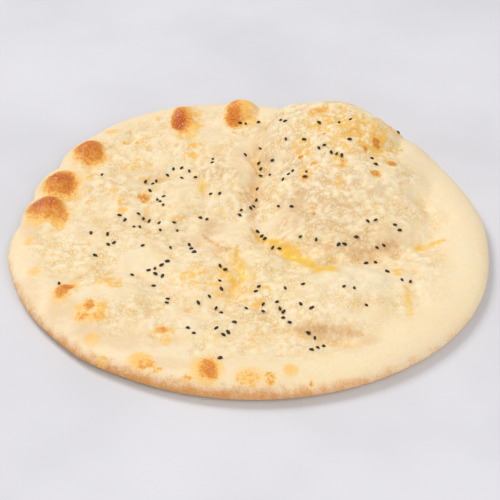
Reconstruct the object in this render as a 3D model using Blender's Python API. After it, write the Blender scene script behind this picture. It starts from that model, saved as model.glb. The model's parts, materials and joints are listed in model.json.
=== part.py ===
"""Butter naan: one puffed round flatbread with toasted rim bubbles and nigella seeds baked on.

The bread is one closed solid. Its top is a height above the resting plane, worked out for any
point of the plan from the rim's section, the puffs, the creases and the lumps of the skin. The
seeds are small drops, laid in drifts and joined to the crust. Sizes below are in millimetres
and angles in degrees. +Z is up, +Y points to the back of the bread, which lies flat on its
underside, and the origin is the middle of the underside of its box.
"""

import math
import random
from collections import namedtuple

import bmesh
import bpy
import numpy as np
from mathutils import Matrix, Vector
from mathutils.bvhtree import BVHTree

MM = 0.001

# Plan outline: a mean radius with slow lobes, each a number of waves, a size and a direction.
MEAN_RADIUS = 131.5
OUTLINE_LOBES = ((2, 2.3, -49.0), (3, 1.4, -17.0), (4, 1.1, 32.0), (5, 0.7, -26.0))

# Section of the rim, from its outermost line inwards. It is fullest towards the front right.
EDGE_HEIGHT = 3.8
CROWN_HEIGHT = 10.2
FLOOR_HEIGHT = 8.0
ROLL_WIDTH = 15.0
CROWN_INSET = 14.0
RIM_WIDTH = 33.0
RIM_WIDTH_SWING = 11.0
RIM_FULLEST_TOWARDS = -45.0
RIM_SWELLS = ((1, 0.7, -45.0), (3, 0.6, 20.0), (7, 0.5, 55.0), (11, 0.35, 10.0))
UNDERSIDE_CURL_WIDTH = 15.0

# Puffs: middle, half lengths, turn, foot height, rise and how round the crown is.
Puff = namedtuple("Puff", "x y half_x half_y turn foot rise roundness")
GREAT_PUFFS = (
    Puff(56.0, 41.0, 54.0, 67.0, -5.0, 5.0, 18.8, 0.85),
    Puff(50.0, 81.5, 41.0, 44.5, -20.0, 8.0, 22.3, 0.47),
    Puff(56.5, 3.0, 46.0, 26.0, -2.0, 6.0, 11.5, 0.85),
    Puff(47.5, -59.0, 47.0, 36.0, -8.0, 5.0, 11.5, 0.95),
)
LOW_PUFFS = (
    Puff(-10.5, 61.0, 17.0, 36.0, -10.0, 5.5, 8.0, 0.9),
    Puff(-10.5, 30.0, 16.0, 20.0, 10.0, 6.0, 7.5, 0.9),
    Puff(5.5, -29.0, 15.0, 27.0, 28.0, 6.0, 7.5, 0.9),
    Puff(-37.5, 23.0, 24.0, 22.0, -15.0, 6.0, 6.5, 0.9),
    Puff(-28.5, -37.0, 24.0, 25.0, 10.0, 6.0, 6.0, 0.9),
    Puff(-59.5, -9.0, 23.0, 20.0, 30.0, 6.0, 5.0, 0.9),
    Puff(-75.5, -65.0, 36.0, 26.0, -28.0, 6.5, 7.0, 0.8),
    Puff(-77.5, 39.0, 26.0, 30.0, 40.0, 6.0, 5.5, 0.9),
    Puff(-33.5, 85.0, 28.0, 22.0, 10.0, 6.0, 5.5, 0.9),
    Puff(92.5, -43.0, 24.0, 34.0, 12.0, 6.5, 4.5, 0.9),
    Puff(-21.5, -87.0, 44.0, 20.0, 4.0, 6.5, 5.0, 0.9),
    Puff(90.0, 76.0, 23.0, 17.0, -40.0, 8.0, 7.0, 0.8),
)
PUFF_JOIN = 3.0

# Toasted bubbles on the rim: direction, inset, half lengths along and across it, height above
# the resting plane, and how far each pushes the outline out.
RimBubble = namedtuple("RimBubble", "direction inset along across height bulge")
RIM_BUBBLES = (
    RimBubble(169.5, 13.0, 13.0, 10.0, 13.0, -1.5),
    RimBubble(158.8, 12.5, 10.5, 9.5, 15.0, 0.0),
    RimBubble(140.3, 12.5, 9.5, 9.0, 14.2, 1.2),
    RimBubble(109.0, 14.0, 9.0, 10.5, 13.2, 0.5),
    RimBubble(92.0, 12.0, 11.0, 10.5, 15.2, 1.8),
)
BUBBLE_ROUNDNESS = 0.78
BUBBLE_JOIN = 1.6

# Places where the edge swells out, or is drawn in between the bubbles: direction, half length
# along the edge and how far out.
EdgeSwell = namedtuple("EdgeSwell", "direction along out")
EDGE_SWELLS = (
    EdgeSwell(150.0, 6.5, -3.0),
    EdgeSwell(164.5, 5.0, -2.2),
    EdgeSwell(176.0, 6.0, -1.8),
    EdgeSwell(188.0, 14.0, 1.2),
    EdgeSwell(231.0, 14.0, 1.0),
    EdgeSwell(4.0, 18.0, 1.0),
    EdgeSwell(38.0, 16.0, 2.2),
    EdgeSwell(124.0, 14.0, 1.1),
)

# Creases: start, bend and end of a curve, with the depth and the half width of its groove. Each
# groove fades in and out along its length and is measured along a few straight steps.
Crease = namedtuple("Crease", "start bend end depth half_width")
CREASES = (
    Crease((8.0, 101.0), (3.0, 49.0), (3.0, 9.0), 2.6, 4.5),
    Crease((3.0, 9.0), (7.5, -15.0), (34.5, -24.0), 3.8, 4.2),
    Crease((34.5, -24.0), (66.5, -34.0), (98.5, -7.0), 3.0, 4.5),
    Crease((98.5, -7.0), (108.5, 1.0), (112.5, 11.0), 1.4, 5.0),
    Crease((-39.5, -7.0), (-7.5, -5.0), (-6.5, -43.0), 2.6, 4.0),
    Crease((-6.5, -43.0), (-3.5, -65.0), (14.5, -75.0), 2.6, 4.0),
    Crease((14.5, -75.0), (40.5, -101.0), (80.5, -91.0), 2.8, 5.0),
    Crease((80.5, -27.0), (92.5, -49.0), (86.5, -69.0), 1.8, 3.5),
    Crease((-65.5, 39.0), (-59.5, 59.0), (-27.5, 49.0), 1.8, 4.0),
    Crease((-65.5, 39.0), (-51.5, 21.0), (-55.5, 5.0), 1.8, 4.0),
    Crease((-99.5, -47.0), (-77.5, -23.0), (-53.5, -43.0), 2.0, 3.5),
    Crease((-53.5, -43.0), (-39.5, -63.0), (-5.5, -69.0), 1.8, 4.5),
    Crease((10.0, 20.0), (30.0, 2.0), (64.0, 8.0), 1.8, 7.0),
)
CREASE_STEPS = 10
CREASE_FADE = 0.5

# The plan is pushed to and fro by slow waves, so that no form is a true oval.
# Each wave is a size, a length and a heading.
WAVES = ((3.2, 61.0, 20.0), (2.2, 37.0, 110.0), (1.4, 23.0, 65.0))

# Lumpy skin of the inner field: seeded waves that cross each other, kept off the smooth rim.
SKIN_SEED = 7
SKIN_WAVES = 18
SKIN_LENGTHS = (11.0, 24.0)
SKIN_RELIEF = 0.48
SKIN_STARTS = (0.45, 1.0)

# Mesh of the bread: cells across the square that is wrapped onto the plan, then thinned. Its
# steps shorten beyond a share of the radius, and the underside has rings at shares of its curl.
CELLS_ACROSS = 132
SHORT_STEPS_FROM = 0.90
UNDERSIDE_RINGS = (0.35, 0.7, 1.0)
BREAD_TRIANGLES = 4800
SETTLE_WITHIN = 0.05

# Nigella seeds: size, how the ends taper, how deep each is sunk and the gap that they keep.
SEED_LENGTH = 2.9
SEED_WIDTH = 1.9
SEED_THICKNESS = 1.7
SEED_SIDES = 5
SEED_RINGS = 4
SEED_TAPER = 0.35
SEED_SIZES = (0.78, 1.06)
SEED_SUNK_SHARE = 0.28
SEED_GAP = 3.3
SEED_DRAW = 11
SEED_TRIES = 60

# The drifts that the seeds fell in: from one point to another, how many, and how far they stray.
Drift = namedtuple("Drift", "x1 y1 x2 y2 count spread")
SEED_DRIFTS = (
    Drift(-6, 108, -2, 109, 2, 1),
    Drift(6, 108, 6, 108, 1, 0),
    Drift(18, 90, 24, 82, 2, 1),
    Drift(41, 76, 41, 76, 1, 0),
    Drift(50, 74, 61, 79, 2, 1),
    Drift(88, 85, 88, 85, 1, 0),
    Drift(7, 83, 7, 83, 1, 0),
    Drift(20, 68, 33, 65, 2, 1),
    Drift(58, 61, 58, 61, 1, 0),
    Drift(39, 56, 47, 58, 2, 1),
    Drift(45, 53, 54, 49, 3, 1),
    Drift(69, 54, 72, 42, 2, 1),
    Drift(-2, 71, -2, 71, 1, 0),
    Drift(7, 69, 8, 56, 3, 1),
    Drift(15, 63, 13, 52, 2, 1),
    Drift(6, 42, 5, 31, 2, 1),
    Drift(2, 30, 2, 17, 2, 1),
    Drift(17, 36, 25, 42, 3, 1),
    Drift(34, 40, 31, 30, 2, 1),
    Drift(13, 20, 24, 16, 2, 1),
    Drift(4, 4, 10, -6, 4, 1),
    Drift(13, -11, 18, -13, 2, 0.5),
    Drift(26, -10, 38, -12, 2, 1),
    Drift(48, -15, 52, -15, 2, 0.5),
    Drift(59, -11, 59, -11, 1, 0),
    Drift(65, -2, 70, -2, 2, 0.5),
    Drift(78, 0, 83, -8, 2, 0.5),
    Drift(70, -17, 74, -16, 2, 0.3),
    Drift(57, -25, 70, -23, 2, 1),
    Drift(74, -38, 74, -38, 1, 0),
    Drift(79, -46, 86, -45, 2, 0.5),
    Drift(17, -52, 31, -53, 2, 0.5),
    Drift(46, -58, 58, -58, 2, 0.5),
    Drift(61, -70, 61, -70, 1, 0),
    Drift(26, -68, 33, -73, 2, 0.5),
    Drift(7, -47, 4, -52, 2, 0.5),
    Drift(7, -60, 9, -70, 2, 1),
    Drift(13, -61, 21, -78, 5, 1),
    Drift(28, -82, 34, -88, 2, 0.5),
    Drift(31, -99, 40, -96, 3, 1),
    Drift(-46, 62, -33, 58, 3, 1),
    Drift(-48, 55, -28, 51, 3, 1),
    Drift(-61, 47, -51, 50, 4, 1.4),
    Drift(-56, 38, -49, 24, 3, 1),
    Drift(-47, 31, -48, 17, 2, 1),
    Drift(-84, 52, -84, 52, 1, 0),
    Drift(-20, 70, -21, 58, 2, 0.5),
    Drift(-24, 31, -15, 29, 2, 0.5),
    Drift(-4, 22, -5, 13, 2, 0.5),
    Drift(-28, 11, -20, 8, 2, 0.5),
    Drift(-73, 16, -66, 9, 2, 1),
    Drift(-63, 15, -55, 10, 3, 1),
    Drift(-65, 1, -58, 7, 2, 1),
    Drift(-49, 9, -48, -1, 2, 0.5),
    Drift(-42, 6, -39, -1, 2, 1),
    Drift(-92, 1, -76, -4, 2, 1),
    Drift(-80, -12, -72, -10, 2, 0.5),
    Drift(-83, -20, -83, -20, 1, 0),
    Drift(-58, -15, -41, -14, 2, 1),
    Drift(-33, -8, -29, -21, 3, 1),
    Drift(-62, -36, -62, -36, 1, 0),
    Drift(-54, -36, -40, -28, 4, 1),
    Drift(-51, -38, -42, -41, 2, 1),
    Drift(-50, -46, -50, -46, 1, 0),
    Drift(-43, -52, -42, -62, 2, 1),
    Drift(-17, -32, -12, -37, 2, 0.5),
    Drift(-16, -43, -13, -52, 2, 1),
    Drift(-16, -57, -26, -61, 2, 1),
    Drift(-18, -64, -11, -69, 2, 1),
    Drift(-1, -65, -1, -65, 1, 0),
    Drift(-4, -77, -13, -93, 3, 1),
    Drift(-16, -86, -16, -86, 1, 0),
    Drift(-34, -81, -24, -94, 2, 1),
    Drift(-14, -108, -14, -108, 1, 0),
    Drift(-100, -47, -100, -47, 1, 0),
)

CRUST_COLOUR = (0.90, 0.74, 0.46, 1.0)
CRUST_ROUGHNESS = 0.55

# Seeds are dropped onto the crust from this height.
DROP_FROM = 100.0


def smooth_step(low, high, value):
    """0 below low, 1 above high and an even curve between them."""
    share = np.clip((value - low) / (high - low), 0.0, 1.0)
    return share * share * (3.0 - 2.0 * share)


def smooth_max(first, second, join):
    """The higher of two heights, with a fillet as wide as join where they cross."""
    share = np.clip(0.5 + 0.5 * (first - second) / join, 0.0, 1.0)
    return second + (first - second) * share + join * share * (1.0 - share)


def outline_radius(angle):
    """Distance from the middle to the outline, in each direction."""
    radius = np.full_like(angle, MEAN_RADIUS)
    for order, size, towards in OUTLINE_LOBES:
        radius += size * np.cos(order * (angle - math.radians(towards)))
    swells = [EdgeSwell(bubble.direction, bubble.along, bubble.bulge) for bubble in RIM_BUBBLES]
    for swell in (*swells, *EDGE_SWELLS):
        turn = angle - math.radians(swell.direction)
        away = np.arctan2(np.sin(turn), np.cos(turn)) * MEAN_RADIUS
        radius += swell.out * np.exp(-((away / swell.along) ** 2))
    return radius


def inset_of(x, y):
    """How far a point lies inside the outline, measured towards the middle."""
    return outline_radius(np.arctan2(y, x)) - np.hypot(x, y)


def dome(x, y, middle, half_lengths, turn):
    """1 at the middle of an oval, 0 on its outline and below 0 outside."""
    cos_turn = math.cos(math.radians(turn))
    sin_turn = math.sin(math.radians(turn))
    along = (x - middle[0]) * cos_turn + (y - middle[1]) * sin_turn
    across = (y - middle[1]) * cos_turn - (x - middle[0]) * sin_turn
    return 1.0 - (along / half_lengths[0]) ** 2 - (across / half_lengths[1]) ** 2


def crown(level, roundness):
    """Turns a dome's level into its share of the rise, with a steep foot and a full crown."""
    inside = np.clip(level, 0.0, 1.0) ** roundness
    return np.where(level > 0.0, inside, level)


def curve_point(crease, share):
    """The point at a share of the way along a crease."""
    weights = ((1.0 - share) ** 2, 2.0 * share * (1.0 - share), share**2)
    bends = (crease.start, crease.bend, crease.end)
    return tuple(sum(w * bend[axis] for w, bend in zip(weights, bends)) for axis in (0, 1))


def crease_depth(crease, x, y):
    """Depth of one groove, which fades out at both ends."""
    deepest = np.zeros_like(x)
    for step in range(CREASE_STEPS):
        from_x, from_y = curve_point(crease, step / CREASE_STEPS)
        to_x, to_y = curve_point(crease, (step + 1) / CREASE_STEPS)
        run_x = to_x - from_x
        run_y = to_y - from_y
        along = ((x - from_x) * run_x + (y - from_y) * run_y) / (run_x**2 + run_y**2)
        along = np.clip(along, 0.0, 1.0)
        away = np.hypot(x - from_x - along * run_x, y - from_y - along * run_y)
        fade = np.sin(math.pi * (step + along) / CREASE_STEPS).clip(0.0) ** CREASE_FADE
        groove = crease.depth * fade * np.exp(-((away / crease.half_width) ** 2))
        deepest = np.maximum(deepest, groove)
    return deepest


def skin_relief(x, y, across_rim):
    """Height that the lumpy skin adds or takes away, from the share of the rim's width crossed."""
    draw = random.Random(SKIN_SEED)
    total = np.zeros_like(x)
    for _ in range(SKIN_WAVES):
        heading = draw.uniform(0.0, math.pi)
        length = draw.uniform(*SKIN_LENGTHS)
        start = draw.uniform(0.0, math.tau)
        run = x * math.cos(heading) + y * math.sin(heading)
        total += np.sin(math.tau * run / length + start)
    lumps = total / math.sqrt(SKIN_WAVES / 2)
    return SKIN_RELIEF * lumps * smooth_step(*SKIN_STARTS, across_rim)


def waved(x, y):
    """The plan point that a form is read at, pushed by the slow waves."""
    read_x = x.copy()
    read_y = y.copy()
    for size, length, towards in WAVES:
        heading = math.radians(towards)
        phase = (x * math.cos(heading) + y * math.sin(heading)) * math.tau / length
        read_x += size * np.sin(phase) * -math.sin(heading)
        read_y += size * np.sin(phase) * math.cos(heading)
    return read_x, read_y


def rim_width(angle):
    """Width of the smooth rim in each direction."""
    return RIM_WIDTH + RIM_WIDTH_SWING * np.cos(angle - math.radians(RIM_FULLEST_TOWARDS))


def rim_section(inset, angle):
    """The plain bread without puffs: a full crown near the edge, then the lower floor."""
    fall = smooth_step(0.0, 1.0, (inset - CROWN_INSET) / (rim_width(angle) - CROWN_INSET))
    crown_height = np.full_like(angle, CROWN_HEIGHT)
    for order, size, towards in RIM_SWELLS:
        crown_height += size * np.cos(order * (angle - math.radians(towards)))
    return crown_height + (FLOOR_HEIGHT - crown_height) * fall


def bubble_place(bubble):
    """Middle of a rim bubble in plan."""
    angle = math.radians(bubble.direction)
    reach = float(outline_radius(np.array([angle]))[0]) - bubble.inset
    return reach * math.cos(angle), reach * math.sin(angle)


def surface_height(x, y):
    """Height of the crust's top above the resting plane at plan points x, y."""
    angle = np.arctan2(y, x)
    inset = inset_of(x, y)
    height = rim_section(inset, angle)
    read_x, read_y = waved(x, y)
    for puff in LOW_PUFFS + GREAT_PUFFS:
        level = dome(read_x, read_y, (puff.x, puff.y), (puff.half_x, puff.half_y), puff.turn)
        height = smooth_max(height, puff.foot + puff.rise * crown(level, puff.roundness), PUFF_JOIN)
    height += skin_relief(read_x, read_y, inset / rim_width(angle))
    for crease in CREASES:
        height -= crease_depth(crease, read_x, read_y)
    for bubble in RIM_BUBBLES:
        halves = (bubble.across, bubble.along)
        level = dome(x, y, bubble_place(bubble), halves, bubble.direction)
        rise = bubble.height - FLOOR_HEIGHT
        bubble_height = FLOOR_HEIGHT + rise * crown(level, BUBBLE_ROUNDNESS)
        height = smooth_max(height, bubble_height, BUBBLE_JOIN)
    rolled = np.clip(inset / ROLL_WIDTH, 0.0, 1.0)
    roll = np.sqrt(1.0 - (1.0 - rolled) ** 2)
    return EDGE_HEIGHT + (height - EDGE_HEIGHT) * roll


def underside_height(inset):
    """Height of the underside, flat in the middle and curling up to the edge."""
    curled = np.clip(inset / UNDERSIDE_CURL_WIDTH, 0.0, 1.0)
    return EDGE_HEIGHT * (1.0 - np.sqrt(1.0 - (1.0 - curled) ** 2))


def wrapped_square(cells):
    """Plan points of a square grid wrapped onto the disc, in steps that shorten at the edge."""
    steps = np.linspace(-1.0, 1.0, cells + 1)
    across, along = np.meshgrid(steps, steps)
    wide = np.abs(across) >= np.abs(along)
    share = np.where(wide, across, along)
    other = np.where(wide, along, across)
    ratio = np.divide(other, share, out=np.zeros_like(share), where=share != 0.0)
    angle = np.where(wide, ratio * math.pi / 4, math.pi / 2 - ratio * math.pi / 4)
    angle = np.where(share < 0.0, angle + math.pi, angle)
    reach = np.abs(share)
    outer = np.clip((reach - SHORT_STEPS_FROM) / (1.0 - SHORT_STEPS_FROM), 0.0, 1.0)
    shortened = SHORT_STEPS_FROM + (1.0 - SHORT_STEPS_FROM) * np.sin(outer * math.pi / 2)
    radius = outline_radius(angle) * np.where(reach < SHORT_STEPS_FROM, reach, shortened)
    return radius * np.cos(angle), radius * np.sin(angle)


def lower_ring(bm, ring, inset):
    """Adds the underside's ring at an inset, inside the ring given, and the faces between."""
    height = float(underside_height(inset)) * MM
    made = []
    for vert in ring:
        angle = math.atan2(vert.co.y, vert.co.x)
        reach = (float(outline_radius(np.array([angle]))[0]) - inset) * MM
        made.append(bm.verts.new((reach * math.cos(angle), reach * math.sin(angle), height)))
    for index, vert in enumerate(ring):
        after = (index + 1) % len(ring)
        bm.faces.new((ring[after], vert, made[index], made[after]))
    return made


def bread_shell():
    """The bare bread as a closed mesh in metres, before it is thinned."""
    x, y = wrapped_square(CELLS_ACROSS)
    z = surface_height(x.ravel(), y.ravel()).reshape(x.shape)
    bm = bmesh.new()
    grid = [[bm.verts.new(point) for point in zip(*row)] for row in zip(x * MM, y * MM, z * MM)]
    for low, high in zip(grid, grid[1:]):
        for column in range(CELLS_ACROSS):
            bm.faces.new((low[column], low[column + 1], high[column + 1], high[column]))
    last = CELLS_ACROSS
    ring = [grid[0][step] for step in range(last)]
    ring += [grid[step][last] for step in range(last)]
    ring += [grid[last][last - step] for step in range(last)]
    ring += [grid[last - step][0] for step in range(last)]
    for share in UNDERSIDE_RINGS:
        ring = lower_ring(bm, ring, share * UNDERSIDE_CURL_WIDTH)
    bm.faces.new(list(reversed(ring)))
    mesh = bpy.data.meshes.new("bread_shell")
    bm.to_mesh(mesh)
    bm.free()
    return mesh


def apply_modifiers(obj):
    """Replaces an object's mesh with the one that its modifiers make."""
    graph = bpy.context.evaluated_depsgraph_get()
    made = bpy.data.meshes.new_from_object(obj.evaluated_get(graph))
    obj.modifiers.clear()
    old = obj.data
    obj.data = made
    bpy.data.meshes.remove(old)


def settle_underside(mesh):
    """Puts the thinned mesh's lowest vertices back onto the resting plane."""
    for vert in mesh.vertices:
        if vert.co.z < SETTLE_WITHIN * MM:
            vert.co.z = 0.0


def make_bread():
    """The bread object, thinned to its share of the triangles and flat underneath."""
    bread = bpy.data.objects.new("butter_naan", bread_shell())
    bpy.context.scene.collection.objects.link(bread)
    thin = bread.modifiers.new("thin", "DECIMATE")
    bread.data.calc_loop_triangles()
    thin.ratio = BREAD_TRIANGLES / len(bread.data.loop_triangles)
    apply_modifiers(bread)
    settle_underside(bread.data)
    return bread


def seed_mesh():
    """One nigella seed: a five-sided drop, blunt at one end and narrow at the other."""
    bm = bmesh.new()
    bmesh.ops.create_uvsphere(bm, u_segments=SEED_SIDES, v_segments=SEED_RINGS, radius=1.0)
    for vert in bm.verts:
        along = vert.co.z
        slim = 1.0 - SEED_TAPER * max(along, 0.0)
        vert.co = Vector(
            (
                along * SEED_LENGTH / 2 * MM,
                vert.co.x * slim * SEED_WIDTH / 2 * MM,
                vert.co.y * slim * SEED_THICKNESS / 2 * MM,
            )
        )
    bmesh.ops.recalc_face_normals(bm, faces=bm.faces)
    mesh = bpy.data.meshes.new("nigella_seed")
    bm.to_mesh(mesh)
    bm.free()
    return mesh


def seed_places():
    """Plan point, heading and size of each seed. One that finds no room is left out."""
    draw = random.Random(SEED_DRAW)
    places = []
    for drift in SEED_DRIFTS:
        for index in range(drift.count):
            for _ in range(SEED_TRIES):
                share = (index + draw.random()) / drift.count
                x = drift.x1 + (drift.x2 - drift.x1) * share + draw.uniform(-1, 1) * drift.spread
                y = drift.y1 + (drift.y2 - drift.y1) * share + draw.uniform(-1, 1) * drift.spread
                if all(math.hypot(x - other[0], y - other[1]) > SEED_GAP for other in places):
                    places.append((x, y, draw.uniform(0.0, math.tau), draw.uniform(*SEED_SIZES)))
                    break
    return places


def lay_seeds(bread):
    """A collection of seeds lying along the crust, each sunk a little way into it."""
    seeds = bpy.data.collections.new("nigella_seeds")
    bpy.context.scene.collection.children.link(seeds)
    mesh = seed_mesh()
    crust = BVHTree.FromPolygons(
        [vert.co for vert in bread.data.vertices],
        [list(face.vertices) for face in bread.data.polygons],
    )
    for index, (x, y, heading, size) in enumerate(seed_places()):
        above = Vector((x, y, DROP_FROM)) * MM
        hit, normal, _, _ = crust.ray_cast(above, Vector((0.0, 0.0, -1.0)))
        rise = (0.5 - SEED_SUNK_SHARE) * SEED_THICKNESS * size * MM
        upright = Vector((0.0, 0.0, 1.0)).rotation_difference(normal).to_matrix().to_4x4()
        seed = bpy.data.objects.new(f"nigella_seed_{index:03d}", mesh)
        seed.matrix_world = (
            Matrix.Translation(hit + normal * rise)
            @ upright
            @ Matrix.Rotation(heading, 4, "Z")
            @ Matrix.Scale(size, 4)
        )
        seeds.objects.link(seed)
    return seeds


def join_seeds(bread, seeds):
    """Unites the seeds with the bread, so that the whole is one solid."""
    join = bread.modifiers.new("join_seeds", "BOOLEAN")
    join.operation = "UNION"
    join.solver = "EXACT"
    join.operand_type = "COLLECTION"
    join.collection = seeds
    apply_modifiers(bread)
    for seed in list(seeds.objects):
        bpy.data.objects.remove(seed)
    bpy.data.collections.remove(seeds)


def centre(mesh):
    """Moves the mesh so that the middle of its box's underside is the origin."""
    points = np.array([vert.co for vert in mesh.vertices])
    low = points.min(axis=0)
    high = points.max(axis=0)
    middle = (low + high) / 2
    mesh.transform(Matrix.Translation((-middle[0], -middle[1], -low[2])))


def crust_material():
    """Pale baked dough."""
    material = bpy.data.materials.new("naan_crust")
    material.use_nodes = True
    shader = material.node_tree.nodes["Principled BSDF"]
    shader.inputs["Base Color"].default_value = CRUST_COLOUR
    shader.inputs["Roughness"].default_value = CRUST_ROUGHNESS
    shader.inputs["Metallic"].default_value = 0.0
    return material


def clear_scene():
    """Removes every object that the scene starts with."""
    for obj in list(bpy.data.objects):
        bpy.data.objects.remove(obj, do_unlink=True)


def main():
    clear_scene()
    bread = make_bread()
    seeds = lay_seeds(bread)
    join_seeds(bread, seeds)
    centre(bread.data)
    bread.data.materials.clear()
    bread.data.materials.append(crust_material())


if __name__ == "__main__":
    main()
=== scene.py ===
"""Butter naan: a puffed round flatbread with toasted rim bubbles, melted butter and nigella seeds.

The crust is the same height over the plan that its solid has, on a finer mesh, with the curds of
the baked skin carved in. The seeds are dropped on it where the solid has them. Plan sizes in the
tables are in millimetres and angles in degrees, from the middle that the outline turns about.
+Z is up, +Y points to the back of the bread, and the bread lies on the plane z = 0.
"""

import json
import math
import random
from collections import namedtuple

import bmesh
import bpy
import numpy as np
from bpy.props import FloatProperty, FloatVectorProperty, IntProperty, PointerProperty
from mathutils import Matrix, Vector

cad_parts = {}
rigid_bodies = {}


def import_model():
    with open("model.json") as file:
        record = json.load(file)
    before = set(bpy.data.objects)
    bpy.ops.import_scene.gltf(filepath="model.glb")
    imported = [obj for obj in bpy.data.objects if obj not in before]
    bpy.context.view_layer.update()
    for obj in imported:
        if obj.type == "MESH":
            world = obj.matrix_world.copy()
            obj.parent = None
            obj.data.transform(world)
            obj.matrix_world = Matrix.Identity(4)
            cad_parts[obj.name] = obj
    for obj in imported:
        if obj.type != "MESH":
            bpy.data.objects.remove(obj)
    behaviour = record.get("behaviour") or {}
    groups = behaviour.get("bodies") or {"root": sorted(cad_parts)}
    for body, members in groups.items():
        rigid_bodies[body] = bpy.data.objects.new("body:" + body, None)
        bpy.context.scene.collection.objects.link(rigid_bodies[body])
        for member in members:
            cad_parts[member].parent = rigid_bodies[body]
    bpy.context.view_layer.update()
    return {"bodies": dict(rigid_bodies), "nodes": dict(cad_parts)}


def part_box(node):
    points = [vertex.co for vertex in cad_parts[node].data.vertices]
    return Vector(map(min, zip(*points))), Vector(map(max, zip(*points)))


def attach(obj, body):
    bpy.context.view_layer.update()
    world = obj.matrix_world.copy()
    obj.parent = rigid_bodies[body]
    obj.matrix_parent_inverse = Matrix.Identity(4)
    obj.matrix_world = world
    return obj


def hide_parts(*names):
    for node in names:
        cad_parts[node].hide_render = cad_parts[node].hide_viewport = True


bl_info = {
    "name": "Butter Naan",
    "version": (1, 0, 0),
    "blender": (4, 5, 0),
    "location": "3D View > Sidebar > Naan",
    "description": "Makes a puffed flatbread with toasted bubbles, butter and nigella seeds",
    "category": "Add Mesh",
}

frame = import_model()
SOLID_LOW, SOLID_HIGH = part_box("butter_naan")

MM = 0.001

# Plan outline: a mean radius with slow lobes, each a number of waves, a size and a direction.
MEAN_RADIUS = 131.5
OUTLINE_LOBES = ((2, 2.3, -49.0), (3, 1.4, -17.0), (4, 1.1, 32.0), (5, 0.7, -26.0))

# Section of the rim, from its outermost line inwards. It is fullest towards the front right.
EDGE_HEIGHT = 3.8
CROWN_HEIGHT = 10.2
FLOOR_HEIGHT = 8.0
ROLL_WIDTH = 15.0
CROWN_INSET = 14.0
RIM_WIDTH = 33.0
RIM_WIDTH_SWING = 11.0
RIM_FULLEST_TOWARDS = -45.0
RIM_SWELLS = ((1, 0.7, -45.0), (3, 0.6, 20.0), (7, 0.5, 55.0), (11, 0.35, 10.0))
UNDERSIDE_CURL_WIDTH = 15.0

# Puffs: middle, half lengths, turn, foot height, rise and how round the crown is.
Puff = namedtuple("Puff", "x y half_x half_y turn foot rise roundness")
GREAT_PUFFS = (
    Puff(56, 41, 54, 67, -5, 5, 18.8, 0.85),
    Puff(50, 81.5, 41, 44.5, -20, 8, 22.3, 0.47),
    Puff(56.5, 3, 46, 26, -2, 6, 11.5, 0.85),
    Puff(47.5, -59, 47, 36, -8, 5, 11.5, 0.95),
)
LOW_PUFFS = (
    Puff(-10.5, 61, 17, 36, -10, 5.5, 8, 0.9),
    Puff(-10.5, 30, 16, 20, 10, 6, 7.5, 0.9),
    Puff(5.5, -29, 15, 27, 28, 6, 7.5, 0.9),
    Puff(-37.5, 23, 24, 22, -15, 6, 6.5, 0.9),
    Puff(-28.5, -37, 24, 25, 10, 6, 6, 0.9),
    Puff(-59.5, -9, 23, 20, 30, 6, 5, 0.9),
    Puff(-75.5, -65, 36, 26, -28, 6.5, 7, 0.8),
    Puff(-77.5, 39, 26, 30, 40, 6, 5.5, 0.9),
    Puff(-33.5, 85, 28, 22, 10, 6, 5.5, 0.9),
    Puff(92.5, -43, 24, 34, 12, 6.5, 4.5, 0.9),
    Puff(-21.5, -87, 44, 20, 4, 6.5, 5, 0.9),
    Puff(90, 76, 23, 17, -40, 8, 7, 0.8),
)
PUFF_JOIN = 3.0

# Toasted bubbles on the rim: direction, inset, half lengths along and across it, height above
# the resting plane, and how far each pushes the outline out.
RimBubble = namedtuple("RimBubble", "direction inset along across height bulge")
RIM_BUBBLES = (
    RimBubble(169.5, 13, 13, 10, 13, -1.5),
    RimBubble(158.8, 12.5, 10.5, 9.5, 15, 0),
    RimBubble(140.3, 12.5, 9.5, 9, 14.2, 1.2),
    RimBubble(109, 14, 9, 10.5, 13.2, 0.5),
    RimBubble(92, 12, 11, 10.5, 15.2, 1.8),
)
BUBBLE_ROUNDNESS = 0.78
BUBBLE_JOIN = 1.6

# Places where the edge swells out, or is drawn in between the bubbles: direction, half length
# along the edge and how far out.
EdgeSwell = namedtuple("EdgeSwell", "direction along out")
EDGE_SWELLS = (
    EdgeSwell(150, 6.5, -3),
    EdgeSwell(164.5, 5, -2.2),
    EdgeSwell(176, 6, -1.8),
    EdgeSwell(188, 14, 1.2),
    EdgeSwell(231, 14, 1),
    EdgeSwell(4, 18, 1),
    EdgeSwell(38, 16, 2.2),
    EdgeSwell(124, 14, 1.1),
)

# Creases: start, bend and end of a curve, with the depth and the half width of its groove. Each
# groove fades in and out along its length and is measured along a few straight steps.
Crease = namedtuple("Crease", "start bend end depth half_width")
CREASES = (
    Crease((8, 101), (3, 49), (3, 9), 2.6, 4.5),
    Crease((3, 9), (7.5, -15), (34.5, -24), 3.8, 4.2),
    Crease((34.5, -24), (66.5, -34), (98.5, -7), 3, 4.5),
    Crease((98.5, -7), (108.5, 1), (112.5, 11), 1.4, 5),
    Crease((-39.5, -7), (-7.5, -5), (-6.5, -43), 2.6, 4),
    Crease((-6.5, -43), (-3.5, -65), (14.5, -75), 2.6, 4),
    Crease((14.5, -75), (40.5, -101), (80.5, -91), 2.8, 5),
    Crease((80.5, -27), (92.5, -49), (86.5, -69), 1.8, 3.5),
    Crease((-65.5, 39), (-59.5, 59), (-27.5, 49), 1.8, 4),
    Crease((-65.5, 39), (-51.5, 21), (-55.5, 5), 1.8, 4),
    Crease((-99.5, -47), (-77.5, -23), (-53.5, -43), 2, 3.5),
    Crease((-53.5, -43), (-39.5, -63), (-5.5, -69), 1.8, 4.5),
    Crease((10, 20), (30, 2), (64, 8), 1.8, 7),
)
CREASE_STEPS = 10
CREASE_FADE = 0.5

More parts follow.
